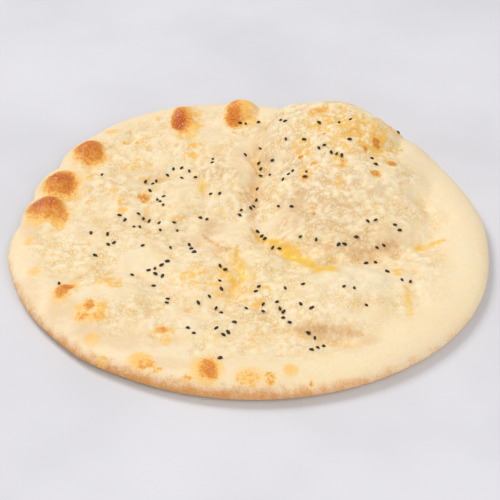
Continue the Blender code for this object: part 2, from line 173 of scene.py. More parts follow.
# The plan is pushed to and fro by slow waves, so that no form is a true oval.
# Each wave is a size, a length and a heading.
WAVES = ((3.2, 61.0, 20.0), (2.2, 37.0, 110.0), (1.4, 23.0, 65.0))

# Lumpy skin of the inner field: seeded waves that cross each other, kept off the smooth rim.
SKIN_SEED = 7
SKIN_WAVES = 18
SKIN_LENGTHS = (11.0, 24.0)
SKIN_RELIEF = 0.48
SKIN_STARTS = (0.45, 1.0)

# Mesh of the crust: cells across the square that is wrapped onto the plan. Its steps shorten
# beyond a share of the radius, and the underside has rings at shares of its curl.
CELLS_ACROSS = 280
SHORT_STEPS_FROM = 0.90
UNDERSIDE_RINGS = (0.12, 0.28, 0.45, 0.62, 0.8, 1.0)

# Directions in which the outline is measured to find its middle.
OUTLINE_CHECKS = 3601

# A place is sunk where it lies below the mean of the cells around it: how many cells that mean
# takes in each way, and how far below it the painted shade of the creases starts and is full.
SUNK_CELLS = 7
SUNK_DEPTHS = (0.2, 2.2)

# Curds gather in patches. They are densest on the high pockets, between these two heights.
CURDLED_HEIGHTS = (13.0, 21.0)
CURDLED_SHARES = (0.54, 0.85)

# The rough field and the painted shade of its sunk places start at shares of the rim's width, and
# the underside at shares of its curl. The toasted bubbles are kept smooth.
FIELD_STARTS = (0.3, 0.75)
SUNK_STARTS = (0.3, 0.6)
UNDERSIDE_STARTS = (0.0, 0.6)
BUBBLES_SMOOTHED = 1.2

# Marks, a row each: middle, half lengths, how strong it is, and its turn where it has one.
# The toasted, scorched and golden marks are baked colour. The tan marks are partly painted shade
# and the pale marks are painted light. The first of the toasted marks lie on the bubbles of the
# rim.
Mark = namedtuple("Mark", "x y half_x half_y strength turn", defaults=(0,))
TOASTED_MARKS = (
    (-113.5, 18.5, 11, 10.5, 0.85, 12), (-107, 42, 10, 13, 0.85), (-93, 74, 9.5, 13, 0.8),
    (-40, 108, 6.5, 14, 0.8), (-8.5, 114, 6.5, 12, 0.75), (-97, -54, 4, 8.5, 0.9, -15),
    (-102, 14, 2.8, 6, 0.5), (-39, 96, 4.5, 6, 0.55), (-82, -69, 3.2, 5, 0.8),
    (-85, -77, 4.4, 3.6, 0.6), (-76, -77, 4, 3.6, 0.5), (-59, 31, 3.4, 4.2, 0.7),
    (-72, 87, 2.4, 2.6, 0.65), (-66, 86, 1.4, 2, 0.5), (-44, -85, 3.6, 3.2, 0.7),
    (-51, -111, 5.4, 4, 0.55, -10), (-45, -115, 3, 2.2, 0.5), (-73, -106, 3, 3, 0.45),
    (-30, -121, 3, 2.6, 0.45), (-20, -115, 5.3, 8, 0.85), (-17, -119, 3, 5, 0.6),
    (0, -123, 6.4, 4.4, 0.45), (11, -122, 3, 5, 0.5), (31, -124, 1.2, 2, 0.6),
    (82, 48, 3.4, 3.6, 0.9), (74, 64, 2.6, 4, 0.9), (72, 36, 3.4, 3.4, 0.7), (67, 57, 2, 3, 0.7),
    (62, 68, 6, 5, 0.35), (41, 91, 8, 4, 0.5, 30), (30, 54, 1.8, 1.8, 0.9),
    (37, 45, 2.4, 1.8, 0.65), (32, 34, 2.6, 2.8, 0.7), (53, 45, 2.2, 3, 0.5),
    (36, 6, 1.3, 1.7, 0.9), (44, 67, 1.2, 1.4, 0.8), (88, 68, 2, 2, 0.4),
)
SCORCHED_MARKS = (
    (-114, 23, 11, 6, 0.6, 12), (-103, 15, 3, 8, 0.3), (-108, 47, 8, 8, 0.6),
    (-101, 40, 4, 8, 0.3), (-95, 78, 8, 7, 0.4), (-42, 107, 4.2, 9, 0.7), (-9.5, 112, 4, 8, 0.35),
    (-94, -49, 4.5, 3, 0.6, -20), (-18, -118, 3, 5, 0.3),
)
GOLDEN_MARKS = (
    (-2, 116, 8, 13, 0.9), (-36, 105, 8.5, 19, 0.8), (-111, 15, 13, 15, 0.7, 12),
    (-106, 40, 12.5, 15, 0.7), (-92, 70, 11, 16, 0.55), (-80, -73, 10, 9, 0.7),
    (-96, -55, 6.5, 11, 0.6, -15), (-20, -115, 9, 11, 0.5), (1, -121, 8, 6, 0.4),
    (-44, -86, 7, 5, 0.6), (-74, -46, 8, 6, 0.85, -10), (-70, -50, 4.4, 4.6, 0.9),
    (-79, -92, 4.4, 4.8, 0.42), (-54, -108, 6.5, 5, 0.6, -10), (-42, -94, 3, 3.4, 0.7),
    (-114, -37, 4, 4.2, 0.5), (-119, -10, 3.6, 4.4, 0.5), (-90, 36, 2.2, 2.2, 0.6),
    (-89, 25, 3, 2.4, 0.7), (-76, 34, 2.8, 3.4, 0.8), (-73, 25, 2.2, 4.2, 0.8),
    (-70, 19, 2.8, 3.2, 0.8), (-91, 49, 3, 4.2, 0.6), (-58, 82, 2.2, 2.2, 0.8),
    (-61, 90, 5.4, 3.2, 0.55), (-54, 109, 2.4, 3.2, 0.8), (-65, 70, 2.2, 2.4, 0.8),
    (-68, 62, 5.4, 4.2, 0.65), (-57, 64, 2.2, 4, 0.55), (-81, 97, 5, 3.2, 0.55),
    (-59, 50, 4, 2.2, 0.55), (-31, 80, 4, 2.6, 0.9), (-33, 72, 5.5, 2.6, 0.9, 10),
    (-8, 97, 2.2, 1.8, 0.8), (-37, 9, 5, 1.6, 0.55), (21, -116, 4.2, 5, 0.5),
    (4, -60, 4, 5, 0.65), (-2, -56, 3.4, 4, 0.55), (11, -52, 3.4, 3.2, 0.7), (1, -95, 4, 4, 0.4),
    (80, -38, 4, 4, 0.6), (65, 69, 22, 19, 0.75), (43, 80, 11, 12, 0.65), (70, 66, 12, 11, 1.0),
    (31, 60, 6, 7, 0.9), (52, 45, 4.5, 6, 0.8), (50, 28, 2.2, 4, 0.9), (51, 20, 2.2, 3.2, 0.6),
    (77, 54, 6, 9, 0.5), (34, 40, 5.5, 8, 0.55), (86, 30, 2.4, 5, 0.45), (35, 12, 3, 2.4, 0.6),
    (60, 87, 13, 10, 0.55), (56, 104, 15, 6, 0.6, -8), (83, 88, 9, 7, 0.6, -40),
    (-10, -47, 14, 16, 0.42), (-30, -43, 12, 11, 0.38),
)
# Tan marks: partly the skin's own beige and partly painted shade on the faces that turn from the
# light, such as the front of the great puff and the feet of the puffs.
TAN_AND_SHADE_MARKS = (
    (28, 18, 10, 11, 0.95), (35, 6, 11, 8, 1.0), (25, 45, 8, 12, 0.8), (25, 66, 7, 9, 0.35),
    (-20, 52, 8, 7, 0.95), (-20, 4, 8, 7, 0.7), (-42, -111, 15, 4, 0.3, -10),
    (-96, -70, 9, 12, 0.42, 35), (-80, -86, 14, 8, 0.42, -45), (-66, -94, 12, 6, 0.36, -35),
    (-115, -52, 6, 12, 0.3, 20), (-120, 2, 6, 12, 0.4), (-84, 33, 9, 9, 0.25),
    (1, -67, 14, 8, 0.35), (40, 2, 26, 10, 0.65), (64, -10, 24, 7, 0.5), (60, -16, 7, 5, 0.85),
    (73, -14, 9, 5, 0.6), (64, -21, 4, 3.4, 0.65), (46, 10, 18, 10, 0.7), (52, 24, 30, 14, 0.45),
    (45, -87, 13, 4.4, 0.75, -4), (61, -92, 7, 4, 0.4), (28, -82, 4, 4, 0.55),
    (3, 30, 5, 26, 0.45), (-70, 5, 22, 12, 0.22), (-60, 55, 16, 8, 0.22), (10, 84, 10, 14, 0.3),
    (-50, -92, 20, 6, 0.3, -8), (-40, -8, 30, 12, 0.2), (-12, 62, 12, 18, 0.25),
)
# Pale marks: painted light that lifts faces turned from the light, such as the right of the great
# puff and the second puff.
LIGHT_PAINTED_MARKS = (
    (85, 66, 10, 13, 1.0), (74, 30, 15, 15, 0.75), (70, 88, 9, 7, 0.5), (57, -50, 25, 17, 1.0),
    (86, -52, 13, 10, 0.6), (14, 118, 15, 8, 1.0), (7, 86, 9, 16, 0.8), (117, -40, 11, 34, 0.6),
    (40, -112, 30, 9, 0.4, 6), (-60, -20, 16, 10, 0.4), (-45, 66, 10, 8, 0.4),
)
# How soft the edge of a mark is, as levels of its oval from fully out to fully in.
MARK_EDGE = (-0.7, 0.95)

# Streaks, a row each: from one point to another, half width and how strong it is.
Streak = namedtuple("Streak", "x1 y1 x2 y2 half_width strength")
BUTTER_STREAKS = (
    (4, 0, 13, -8, 1.7, 0.8), (13, -8, 21, -15, 3.0, 1.0), (21, -15, 31, -26, 5.0, 1.1),
    (31, -26, 44, -39, 4.4, 1.1), (92, -15, 106, -10, 2.2, 0.9), (83, -51, 84, -72, 2.6, 0.7),
    (-27, 47, -26, 34, 3.0, 0.8), (-7, -22, -2, -39, 3.6, 0.8), (-13, -36, -6, -47, 3.6, 0.7),
)
# Streaks of painted shade along the creases.
CREASE_SHADE_STREAKS = (
    (2, 2, 8, -5, 1.4, 1.0), (-24, -3, -10, -17, 1.6, 0.7), (-6, -17, -7, -28, 1.6, 0.8),
    (24, -82, 57, -89, 2.2, 0.6), (4, 36, 2, 11, 2.2, 0.6), (10, 66, 4, 52, 2.0, 0.4),
    (61, -19, 80, -15, 3.0, 0.6), (37, -14, 59, -21, 3.0, 0.5), (-66, 37, -56, 47, 1.6, 0.4),
)

# The tan line round the rim's foot: how wide it is and how strong, from its palest side to its
# darkest, which is towards one direction.
EDGE_TAN_TOWARDS = -108.0
EDGE_TAN_WIDTHS = (2.0, 11.0)
EDGE_TAN_STRENGTHS = (0.05, 0.9)
EDGE_TAN_GATHERING = 2.8

# Drifts that the nigella seeds fell in, a row each: from one point to another, how many seeds
# and how far they stray. A row of one point is a single seed.
Drift = namedtuple("Drift", "x1 y1 x2 y2 count spread")
SEED_DRIFTS = (
    (-6, 108, -2, 109, 2, 1), (6, 108), (18, 90, 24, 82, 2, 1), (41, 76), (50, 74, 61, 79, 2, 1),
    (88, 85), (7, 83), (20, 68, 33, 65, 2, 1), (58, 61), (39, 56, 47, 58, 2, 1),
    (45, 53, 54, 49, 3, 1), (69, 54, 72, 42, 2, 1), (-2, 71), (7, 69, 8, 56, 3, 1),
    (15, 63, 13, 52, 2, 1), (6, 42, 5, 31, 2, 1), (2, 30, 2, 17, 2, 1), (17, 36, 25, 42, 3, 1),
    (34, 40, 31, 30, 2, 1), (13, 20, 24, 16, 2, 1), (4, 4, 10, -6, 4, 1),
    (13, -11, 18, -13, 2, 0.5), (26, -10, 38, -12, 2, 1), (48, -15, 52, -15, 2, 0.5), (59, -11),
    (65, -2, 70, -2, 2, 0.5), (78, 0, 83, -8, 2, 0.5), (70, -17, 74, -16, 2, 0.3),
    (57, -25, 70, -23, 2, 1), (74, -38), (79, -46, 86, -45, 2, 0.5), (17, -52, 31, -53, 2, 0.5),
    (46, -58, 58, -58, 2, 0.5), (61, -70), (26, -68, 33, -73, 2, 0.5), (7, -47, 4, -52, 2, 0.5),
    (7, -60, 9, -70, 2, 1), (13, -61, 21, -78, 5, 1), (28, -82, 34, -88, 2, 0.5),
    (31, -99, 40, -96, 3, 1), (-46, 62, -33, 58, 3, 1), (-48, 55, -28, 51, 3, 1),
    (-61, 47, -51, 50, 4, 1.4), (-56, 38, -49, 24, 3, 1), (-47, 31, -48, 17, 2, 1), (-84, 52),
    (-20, 70, -21, 58, 2, 0.5), (-24, 31, -15, 29, 2, 0.5), (-4, 22, -5, 13, 2, 0.5),
    (-28, 11, -20, 8, 2, 0.5), (-73, 16, -66, 9, 2, 1), (-63, 15, -55, 10, 3, 1),
    (-65, 1, -58, 7, 2, 1), (-49, 9, -48, -1, 2, 0.5), (-42, 6, -39, -1, 2, 1),
    (-92, 1, -76, -4, 2, 1), (-80, -12, -72, -10, 2, 0.5), (-83, -20), (-58, -15, -41, -14, 2, 1),
    (-33, -8, -29, -21, 3, 1), (-62, -36), (-54, -36, -40, -28, 4, 1), (-51, -38, -42, -41, 2, 1),
    (-50, -46), (-43, -52, -42, -62, 2, 1), (-17, -32, -12, -37, 2, 0.5),
    (-16, -43, -13, -52, 2, 1), (-16, -57, -26, -61, 2, 1), (-18, -64, -11, -69, 2, 1), (-1, -65),
    (-4, -77, -13, -93, 3, 1), (-16, -86), (-34, -81, -24, -94, 2, 1), (-14, -108), (-100, -47),
)
# Each seed's size is a share of the full one, and no two lie nearer than the gap. A place is
# tried so many times. The seed's mesh has sides and rings, ridges along it and a slight bend.
SEED_SIZES = (0.78, 1.06)
SEED_GAP = 3.3
SEED_DRAW = 11
SEED_TRIES = 60
SEED_SIDES = 9
SEED_RINGS = 7
SEED_RIDGES = 3
SEED_RIDGE = 0.12
SEED_BEND = 0.12
SEED_DROP_FROM = 100.0

# Mottling of the crust: size in metres, then the levels of the noise between which each mask
# rises, and the detail of the noise. The blotches are those of the underside.
MOTTLES = {
    "broad": (0.022,),
    "small": (0.0045,),
    "spots": (0.0032, 0.4, 0.66, 2.0),
    "fine": (0.0016, 0.3, 0.7),
    "speck": (0.0007, 0.3, 0.7, 2.0),
}
BLOTCHES = (0.016, 0.42, 0.62)

# Inputs of the tree that carves the crust, with the settings that they come from.
CURD_SETTINGS = {
    "Curd Size": "curd_size",
    "Curd Depth": "curd_depth",
    "Wrinkle Size": "wrinkle_size",
    "Wrinkle Depth": "wrinkle_depth",
    "Patch Size": "patch_size",
}

# What the vertices of the crust carry for its material.
CARRIED = (
    "field", "toasted", "golden", "tan", "pale", "browned", "buttered", "rim_tan", "sunk",
    "underside", "curd", "curdled",
)

# Values at which each thing starts to show and shows in full. Where two more follow, it runs
# from the first of them to the second.
LEVELS = {
    "grain": (0.0, 0.8, 1.0, 0.0),
    "curd tops": (0.1, 0.65, 1.0, 0.0),
    "curd hollows": (0.0, 0.22, 1.0, 0.0),
    "curds": (0.05, 0.75, 1.0, 0.0),
    "curd patches": (0.8, 1.2),
    "wrinkles": (0.3, 0.7),
    "curds on wrinkles": (0.0, 0.6),
    "sunk": (0.1, 1.1),
    "browned": (0.1, 1.2),
    "rim tan": (0.05, 0.95),
    "rim tan's edge": (0.0, 0.25),
    "gold": (0.1, 1.0),
    "toast on gold": (1.3, 2.8),
    "gold round toast": (0.05, 0.5),
    "toast's edge": (0.0, 0.3),
    "toast": (0.3, 0.85),
    "scorch": (0.85, 1.5),
    # Painted glints on the toast.
    "painted_glints": (0.75, 1.0, 0.0, 0.5),
    "flakes on toast": (0.3, 0.8),
    "butter": (0.1, 1.1),
    "underside": (0.2, 0.9),
}

# How strongly each thing shows, before it swings with the masks.
SHARES = {
    "warm": 0.5,
    "warm on the rim": 0.5,
    "warmer in the field": 0.7,
    "sunk": 0.9,
    "tan": 0.8,
    "pale": 0.7,
    "pale curds": 0.9,
    "fine curds": 0.7,
    "spots in the gold": 1.3,
    "blotches": 0.7,
    "wrinkle depth": 0.6,
    "grain": 0.25,
    "bump in butter": 0.2,
}

# The curds that are only shaded: their share of a carved curd's size, and how far and how
# slowly they are pushed about. The grain of the skin is in metres. Light goes a little way into
# the dough, and its skin shines little.
FINE_CURDS = 0.55
CURD_WARP = 1.3
CURD_WARP_SCALE = 0.9
SKIN_GRAIN = 0.0009
DOUGH_DEPTH = {
    "Specular IOR Level": 0.3,
    "Subsurface Weight": 0.3,
    "Subsurface Radius": (1.0, 0.5, 0.25),
    "Subsurface Scale": 0.004,
}

# Husk and floor: sizes of their patches and grain in metres, how much of the grain is rounded
# cells, and the strength and the depth of the bump.
Finish = namedtuple("Finish", "patch_size grain_size grain_cells bump_strength bump_depth")
HUSK = Finish(0.0011, 0.0005, 0.8, 0.7, 0.00015)
HUSK_ROUGHNESS = (0.38, 0.6)
FLOOR = Finish(0.12, 0.002, 0.2, 0.1, 0.0002)
FLOOR_ROUGHNESS = 0.8
# The floor's cloudy patches are painted darker by this share, as painted shade of uneven light.
FLOOR_SHADE = 0.9
FLOOR_DROP = 0.0002

# Lights, in metres: place, side and tint. The camera's sensor is in millimetres.
Lamp = namedtuple("Lamp", "place side tint")
KEY_LAMP = Lamp((-1.4, 1.3, 2.2), 1.3, (1.0, 0.99, 0.97))
FILL_LAMP = Lamp((0.6, -1.2, 1.1), 1.2, (1.0, 0.97, 0.93))
SURROUND_TINT = (1.0, 0.965, 0.925, 1.0)
SENSOR_WIDTH = 36.0


def linear(red, green, blue):
    """A colour given as it shows on screen, from 0 to 255, as the values that shaders take."""
    shares = [channel / 255 for channel in (red, green, blue)]
    values = [s / 12.92 if s <= 0.04045 else ((s + 0.055) / 1.055) ** 2.4 for s in shares]
    return (*values, 1.0)


def number_setting(name, description, default, low, high, **kind):
    """A setting that is a number between two others, with its unit or its subtype."""
    limits = {"default": default, "min": low, "max": high}
    return FloatProperty(name=name, description=description, **limits, **kind)


def length_setting(name, description, default, low, high):
    """A setting that is a length in metres, between two others."""
    return number_setting(name, description, default, low, high, unit="LENGTH")


def share_setting(name, description, default, high=1.0):
    """A setting that is a share, from 0 up to its highest value."""
    return number_setting(name, description, default, 0.0, high, subtype="FACTOR")


def colour_setting(name, description, *screen):
    """A setting that is a colour, given as it shows on screen."""
    colour = {"default": linear(*screen), "size": 4, "subtype": "COLOR"}
    return FloatVectorProperty(name=name, description=description, **colour)


def smooth_step(low, high, value):
    """0 below low, 1 above high and an even curve between them."""
    share = np.clip((value - low) / (high - low), 0.0, 1.0)
    return share * share * (3.0 - 2.0 * share)


def smooth_max(first, second, join):
    """The higher of two heights, with a fillet as wide as join where they cross."""
    share = np.clip(0.5 + 0.5 * (first - second) / join, 0.0, 1.0)
    return second + (first - second) * share + join * share * (1.0 - share)


def swelled(angle, mean, waves):
    """A mean with waves round it, each a number of waves, a size and a direction."""
    value = np.full_like(angle, mean)
    for order, size, towards in waves:
        value += size * np.cos(order * (angle - math.radians(towards)))
    return value


def outline_radius(angle):
    """Distance from the middle to the outline, in each direction."""
    radius = swelled(angle, MEAN_RADIUS, OUTLINE_LOBES)
    swells = [EdgeSwell(bubble.direction, bubble.along, bubble.bulge) for bubble in RIM_BUBBLES]
    for swell in (*swells, *EDGE_SWELLS):
        turn = angle - math.radians(swell.direction)
        away = np.arctan2(np.sin(turn), np.cos(turn)) * MEAN_RADIUS
        radius += swell.out * np.exp(-((away / swell.along) ** 2))
    return radius


def inset_of(x, y):
    """How far a point lies inside the outline, measured towards the middle."""
    return outline_radius(np.arctan2(y, x)) - np.hypot(x, y)


def dome(x, y, middle, half_lengths, turn):
    """1 at the middle of an oval, 0 on its outline and below 0 outside."""
    cos_turn = math.cos(math.radians(turn))
    sin_turn = math.sin(math.radians(turn))
    along = (x - middle[0]) * cos_turn + (y - middle[1]) * sin_turn
    across = (y - middle[1]) * cos_turn - (x - middle[0]) * sin_turn
    return 1.0 - (along / half_lengths[0]) ** 2 - (across / half_lengths[1]) ** 2


def crown(level, roundness):
    """Turns a dome's level into its share of the rise, with a steep foot and a full crown."""
    inside = np.clip(level, 0.0, 1.0) ** roundness
    return np.where(level > 0.0, inside, level)


def curve_point(crease, share):
    """The point at a share of the way along a crease."""
    weights = ((1.0 - share) ** 2, 2.0 * share * (1.0 - share), share**2)
    bends = (crease.start, crease.bend, crease.end)
    return tuple(sum(w * bend[axis] for w, bend in zip(weights, bends)) for axis in (0, 1))


def share_along(x, y, start, end):
    """How far along a straight step each point lies, from 0 to 1, and how far away from it."""
    run_x = end[0] - start[0]
    run_y = end[1] - start[1]
    along = ((x - start[0]) * run_x + (y - start[1]) * run_y) / (run_x**2 + run_y**2)
    along = np.clip(along, 0.0, 1.0)
    away = np.hypot(x - start[0] - along * run_x, y - start[1] - along * run_y)
    return along, away


def crease_depth(crease, x, y):
    """Depth of one groove, which fades out at both ends."""
    deepest = np.zeros_like(x)
    for step in range(CREASE_STEPS):
        start = curve_point(crease, step / CREASE_STEPS)
        end = curve_point(crease, (step + 1) / CREASE_STEPS)
        along, away = share_along(x, y, start, end)
        fade = np.sin(math.pi * (step + along) / CREASE_STEPS).clip(0.0) ** CREASE_FADE
        groove = crease.depth * fade * np.exp(-((away / crease.half_width) ** 2))
        deepest = np.maximum(deepest, groove)
    return deepest


def skin_relief(x, y, across_rim):
    """Height that the lumpy skin adds or takes away, from the share of the rim's width crossed."""
    draw = random.Random(SKIN_SEED)
    total = np.zeros_like(x)
    for _ in range(SKIN_WAVES):
        heading = draw.uniform(0.0, math.pi)
        length = draw.uniform(*SKIN_LENGTHS)
        start = draw.uniform(0.0, math.tau)
        run = x * math.cos(heading) + y * math.sin(heading)
        total += np.sin(math.tau * run / length + start)
    lumps = total / math.sqrt(SKIN_WAVES / 2)
    return SKIN_RELIEF * lumps * smooth_step(*SKIN_STARTS, across_rim)


def waved(x, y):
    """The plan point that a form is read at, pushed by the slow waves."""
    read_x = x.copy()
    read_y = y.copy()
    for size, length, towards in WAVES:
        heading = math.radians(towards)
        phase = (x * math.cos(heading) + y * math.sin(heading)) * math.tau / length
        read_x += size * np.sin(phase) * -math.sin(heading)
        read_y += size * np.sin(phase) * math.cos(heading)
    return read_x, read_y


def rim_width(angle):
    """Width of the smooth rim in each direction."""
    return RIM_WIDTH + RIM_WIDTH_SWING * np.cos(angle - math.radians(RIM_FULLEST_TOWARDS))


def rim_section(inset, angle):
    """The plain bread without puffs: a full crown near the edge, then the lower floor."""
    fall = smooth_step(0.0, 1.0, (inset - CROWN_INSET) / (rim_width(angle) - CROWN_INSET))
    crown_height = swelled(angle, CROWN_HEIGHT, RIM_SWELLS)
    return crown_height + (FLOOR_HEIGHT - crown_height) * fall


def bubble_place(bubble):
    """Middle of a rim bubble in plan."""
    angle = math.radians(bubble.direction)
    reach = float(outline_radius(np.array([angle]))[0]) - bubble.inset
    return reach * math.cos(angle), reach * math.sin(angle)


def surface_height(x, y):
    """Height of the crust's top above the resting plane at plan points x, y."""
    angle = np.arctan2(y, x)
    inset = inset_of(x, y)
    height = rim_section(inset, angle)
    read_x, read_y = waved(x, y)
    for puff in LOW_PUFFS + GREAT_PUFFS:
        level = dome(read_x, read_y, (puff.x, puff.y), (puff.half_x, puff.half_y), puff.turn)
        puff_height = puff.foot + puff.rise * crown(level, puff.roundness)
        height = smooth_max(height, puff_height, PUFF_JOIN)
    height += skin_relief(read_x, read_y, inset / rim_width(angle))
    for crease in CREASES:
        height -= crease_depth(crease, read_x, read_y)
    for bubble in RIM_BUBBLES:
        halves = (bubble.across, bubble.along)
        level = dome(x, y, bubble_place(bubble), halves, bubble.direction)
        rise = bubble.height - FLOOR_HEIGHT
        bubble_height = FLOOR_HEIGHT + rise * crown(level, BUBBLE_ROUNDNESS)
        height = smooth_max(height, bubble_height, BUBBLE_JOIN)
    rolled = np.clip(inset / ROLL_WIDTH, 0.0, 1.0)
    roll = np.sqrt(1.0 - (1.0 - rolled) ** 2)
    return EDGE_HEIGHT + (height - EDGE_HEIGHT) * roll


def underside_height(inset):
    """Height of the underside, flat in the middle and curling up to the edge."""
    curled = np.clip(inset / UNDERSIDE_CURL_WIDTH, 0.0, 1.0)
    return EDGE_HEIGHT * (1.0 - np.sqrt(1.0 - (1.0 - curled) ** 2))


def wrapped_square(cells):
    """Plan points of a square grid wrapped onto the disc, in steps that shorten at the edge."""
    steps = np.linspace(-1.0, 1.0, cells + 1)
    across, along = np.meshgrid(steps, steps)
    wide = np.abs(across) >= np.abs(along)
    share = np.where(wide, across, along)
    other = np.where(wide, along, across)
    ratio = np.divide(other, share, out=np.zeros_like(share), where=share != 0.0)
    angle = np.where(wide, ratio * math.pi / 4, math.pi / 2 - ratio * math.pi / 4)
    angle = np.where(share < 0.0, angle + math.pi, angle)
    reach = np.abs(share)
    outer = np.clip((reach - SHORT_STEPS_FROM) / (1.0 - SHORT_STEPS_FROM), 0.0, 1.0)
    shortened = SHORT_STEPS_FROM + (1.0 - SHORT_STEPS_FROM) * np.sin(outer * math.pi / 2)
    radius = outline_radius(angle) * np.where(reach < SHORT_STEPS_FROM, reach, shortened)
    return radius * np.cos(angle), radius * np.sin(angle)


def plan_middle():
    """The middle of the outline's box, which is the origin of the finished bread."""
    angle = np.linspace(0.0, math.tau, OUTLINE_CHECKS)
    radius = outline_radius(angle)
    x = radius * np.cos(angle)
    y = radius * np.sin(angle)
    return (x.min() + x.max()) / 2, (y.min() + y.max()) / 2


def marked(x, y, rows):
    """Strength of the strongest mark at each plan point."""
    strongest = np.zeros_like(x)
    for mark in (Mark(*row) for row in rows):
        level = dome(x, y, (mark.x, mark.y), (mark.half_x, mark.half_y), mark.turn)
        strongest = np.maximum(strongest, mark.strength * smooth_step(*MARK_EDGE, level))
    return strongest


def streaked(x, y, rows):
    """Strength of the strongest streak at each plan point."""
    strongest = np.zeros_like(x)
    for streak in (Streak(*row) for row in rows):
        _, away = share_along(x, y, (streak.x1, streak.y1), (streak.x2, streak.y2))
        strength = streak.strength * np.exp(-((away / streak.half_width) ** 2))
        strongest = np.maximum(strongest, strength)
    return strongest


def edge_tan(x, y):
    """Strength of the tan line round the foot of the rim."""
    turn = np.cos(np.arctan2(y, x) - math.radians(EDGE_TAN_TOWARDS))
    share = (0.5 + 0.5 * turn) ** EDGE_TAN_GATHERING
    width = EDGE_TAN_WIDTHS[0] + (EDGE_TAN_WIDTHS[1] - EDGE_TAN_WIDTHS[0]) * share
    strength = EDGE_TAN_STRENGTHS[0] + (EDGE_TAN_STRENGTHS[1] - EDGE_TAN_STRENGTHS[0]) * share
    climb = np.sqrt(np.clip(inset_of(x, y) / width, 0.0, 1.0))
    return strength * (1.0 - smooth_step(0.0, 1.0, climb))


def softened(height, reach):
    """Heights of the grid averaged over the cells within a reach, along and across."""
    for axis in (0, 1):
        margin = [(reach, reach) if way == axis else (0, 0) for way in (0, 1)]
        wider = np.pad(height, margin, mode="edge")
        places = np.arange(height.shape[axis])
        shifted = [np.take(wider, places + step, axis) for step in range(2 * reach + 1)]
        height = np.mean(shifted, axis=0)
    return height


def crust_values(x, y, height):
    """What each point of the crust's top carries for its material and for its curds."""
    side = CELLS_ACROSS + 1
    square = height.reshape(side, side)
    below = (softened(square, SUNK_CELLS) - square).ravel()
    across_rim = inset_of(x, y) / rim_width(np.arctan2(y, x))
    bubbles = BUBBLES_SMOOTHED * marked(x, y, TOASTED_MARKS[: len(RIM_BUBBLES)])
    rough = smooth_step(*FIELD_STARTS, across_rim)
    rough = np.maximum(rough, smooth_step(*CURDLED_HEIGHTS, height))
    # Of these, the sunk places and the crease streaks carry painted shade, the pale marks painted
    # light, and the tan marks partly painted shade.
    return {
        "field": rough * (1.0 - np.clip(bubbles, 0.0, 1.0)),
        "toasted": marked(x, y, TOASTED_MARKS) + marked(x, y, SCORCHED_MARKS),
        "golden": marked(x, y, GOLDEN_MARKS),
        "tan": marked(x, y, TAN_AND_SHADE_MARKS),
        "pale": marked(x, y, LIGHT_PAINTED_MARKS),
        "browned": streaked(x, y, CREASE_SHADE_STREAKS),
        "buttered": streaked(x, y, BUTTER_STREAKS),
        "rim_tan": edge_tan(x, y),
        "sunk": smooth_step(*SUNK_DEPTHS, below) * smooth_step(*SUNK_STARTS, across_rim),
        "curdled": np.interp(height, CURDLED_HEIGHTS, CURDLED_SHARES),
        "underside": np.zeros_like(x),
    }


def crust_points():
    """Vertices of the crust in millimetres, its faces and the values that each vertex carries."""
    side = CELLS_ACROSS + 1
    x, y = (plan.ravel() for plan in wrapped_square(CELLS_ACROSS))
    height = surface_height(x, y)
    points = [np.stack((x, y, height), axis=1)]
    values = crust_values(x, y, height)
    number = np.arange(side * side).reshape(side, side)
    corners = (number[:-1, :-1], number[:-1, 1:], number[1:, 1:], number[1:, :-1])
    faces = np.stack([corner.ravel() for corner in corners], axis=1).tolist()
    ring = np.array([*number[0, :-1], *number[:-1, -1], *number[-1, :0:-1], *number[:0:-1, 0]])
    angle = np.arctan2(y[ring], x[ring])
    outline = outline_radius(angle)
    start = side * side
    for share in UNDERSIDE_RINGS:
        inset = share * UNDERSIDE_CURL_WIDTH
        reach = outline - inset
        height = np.full_like(reach, underside_height(inset))
        points.append(np.stack((reach * np.cos(angle), reach * np.sin(angle), height), axis=1))
        made = start + np.arange(len(ring))
        quads = (np.roll(ring, -1), ring, made, np.roll(made, -1))
        faces += np.stack(quads, axis=1).tolist()
        for name, value in values.items():
            under = smooth_step(*UNDERSIDE_STARTS, share) if name == "underside" else 0.0
            values[name] = np.concatenate((value, np.full_like(reach, under)))
        ring = made
        start += len(made)
    faces.append(ring[::-1].tolist())
    return np.concatenate(points), faces, values


def placed_in_solid(points):
    """The points in metres, centred on the origin and drawn in where they pass the solid's box."""
    middle = np.array((*plan_middle(), 0.0))
    placed = (points - middle) * MM
    low = np.array(SOLID_LOW)
    high = np.array(SOLID_HIGH)
    for axis in (0, 1):
        reach = np.abs(placed[:, axis]).max()
        room = min(-low[axis], high[axis])
        placed[:, axis] *= min(1.0, room / reach)
    return placed


def fresh_object(name, mesh):
    """A new object in the scene, in the place of an earlier one with its name."""
    earlier = bpy.data.objects.get(name)
    if earlier is not None:
        bpy.data.objects.remove(earlier, do_unlink=True)
    mesh.name = name
    obj = bpy.data.objects.new(name, mesh)
    bpy.context.scene.collection.objects.link(obj)
    return obj


def carry(mesh, name, values):
    """Lets each vertex of a mesh carry a value."""
    attribute = mesh.attributes.new(name, "FLOAT", "POINT")
    attribute.data.foreach_set("value", values.astype(np.float32))


def plug(tree, node, inputs):
    """Gives a node its inputs, as values or as links."""
    for name, value in inputs.items():
        if isinstance(value, bpy.types.NodeSocket):
            tree.links.new(value, node.inputs[name])
        else:
            node.inputs[name].default_value = value


def put(tree, kind, inputs=None, **settings):
    """Adds a node, with settings and with inputs given as values or as links."""
    node = tree.nodes.new(kind)
    for name, value in settings.items():
        setattr(node, name, value)
    plug(tree, node, inputs or {})
    return node


def output(tree, kind, name, inputs=None, **settings):
    """Adds a node and gives one of its outputs."""
    return put(tree, kind, inputs, **settings).outputs[name]


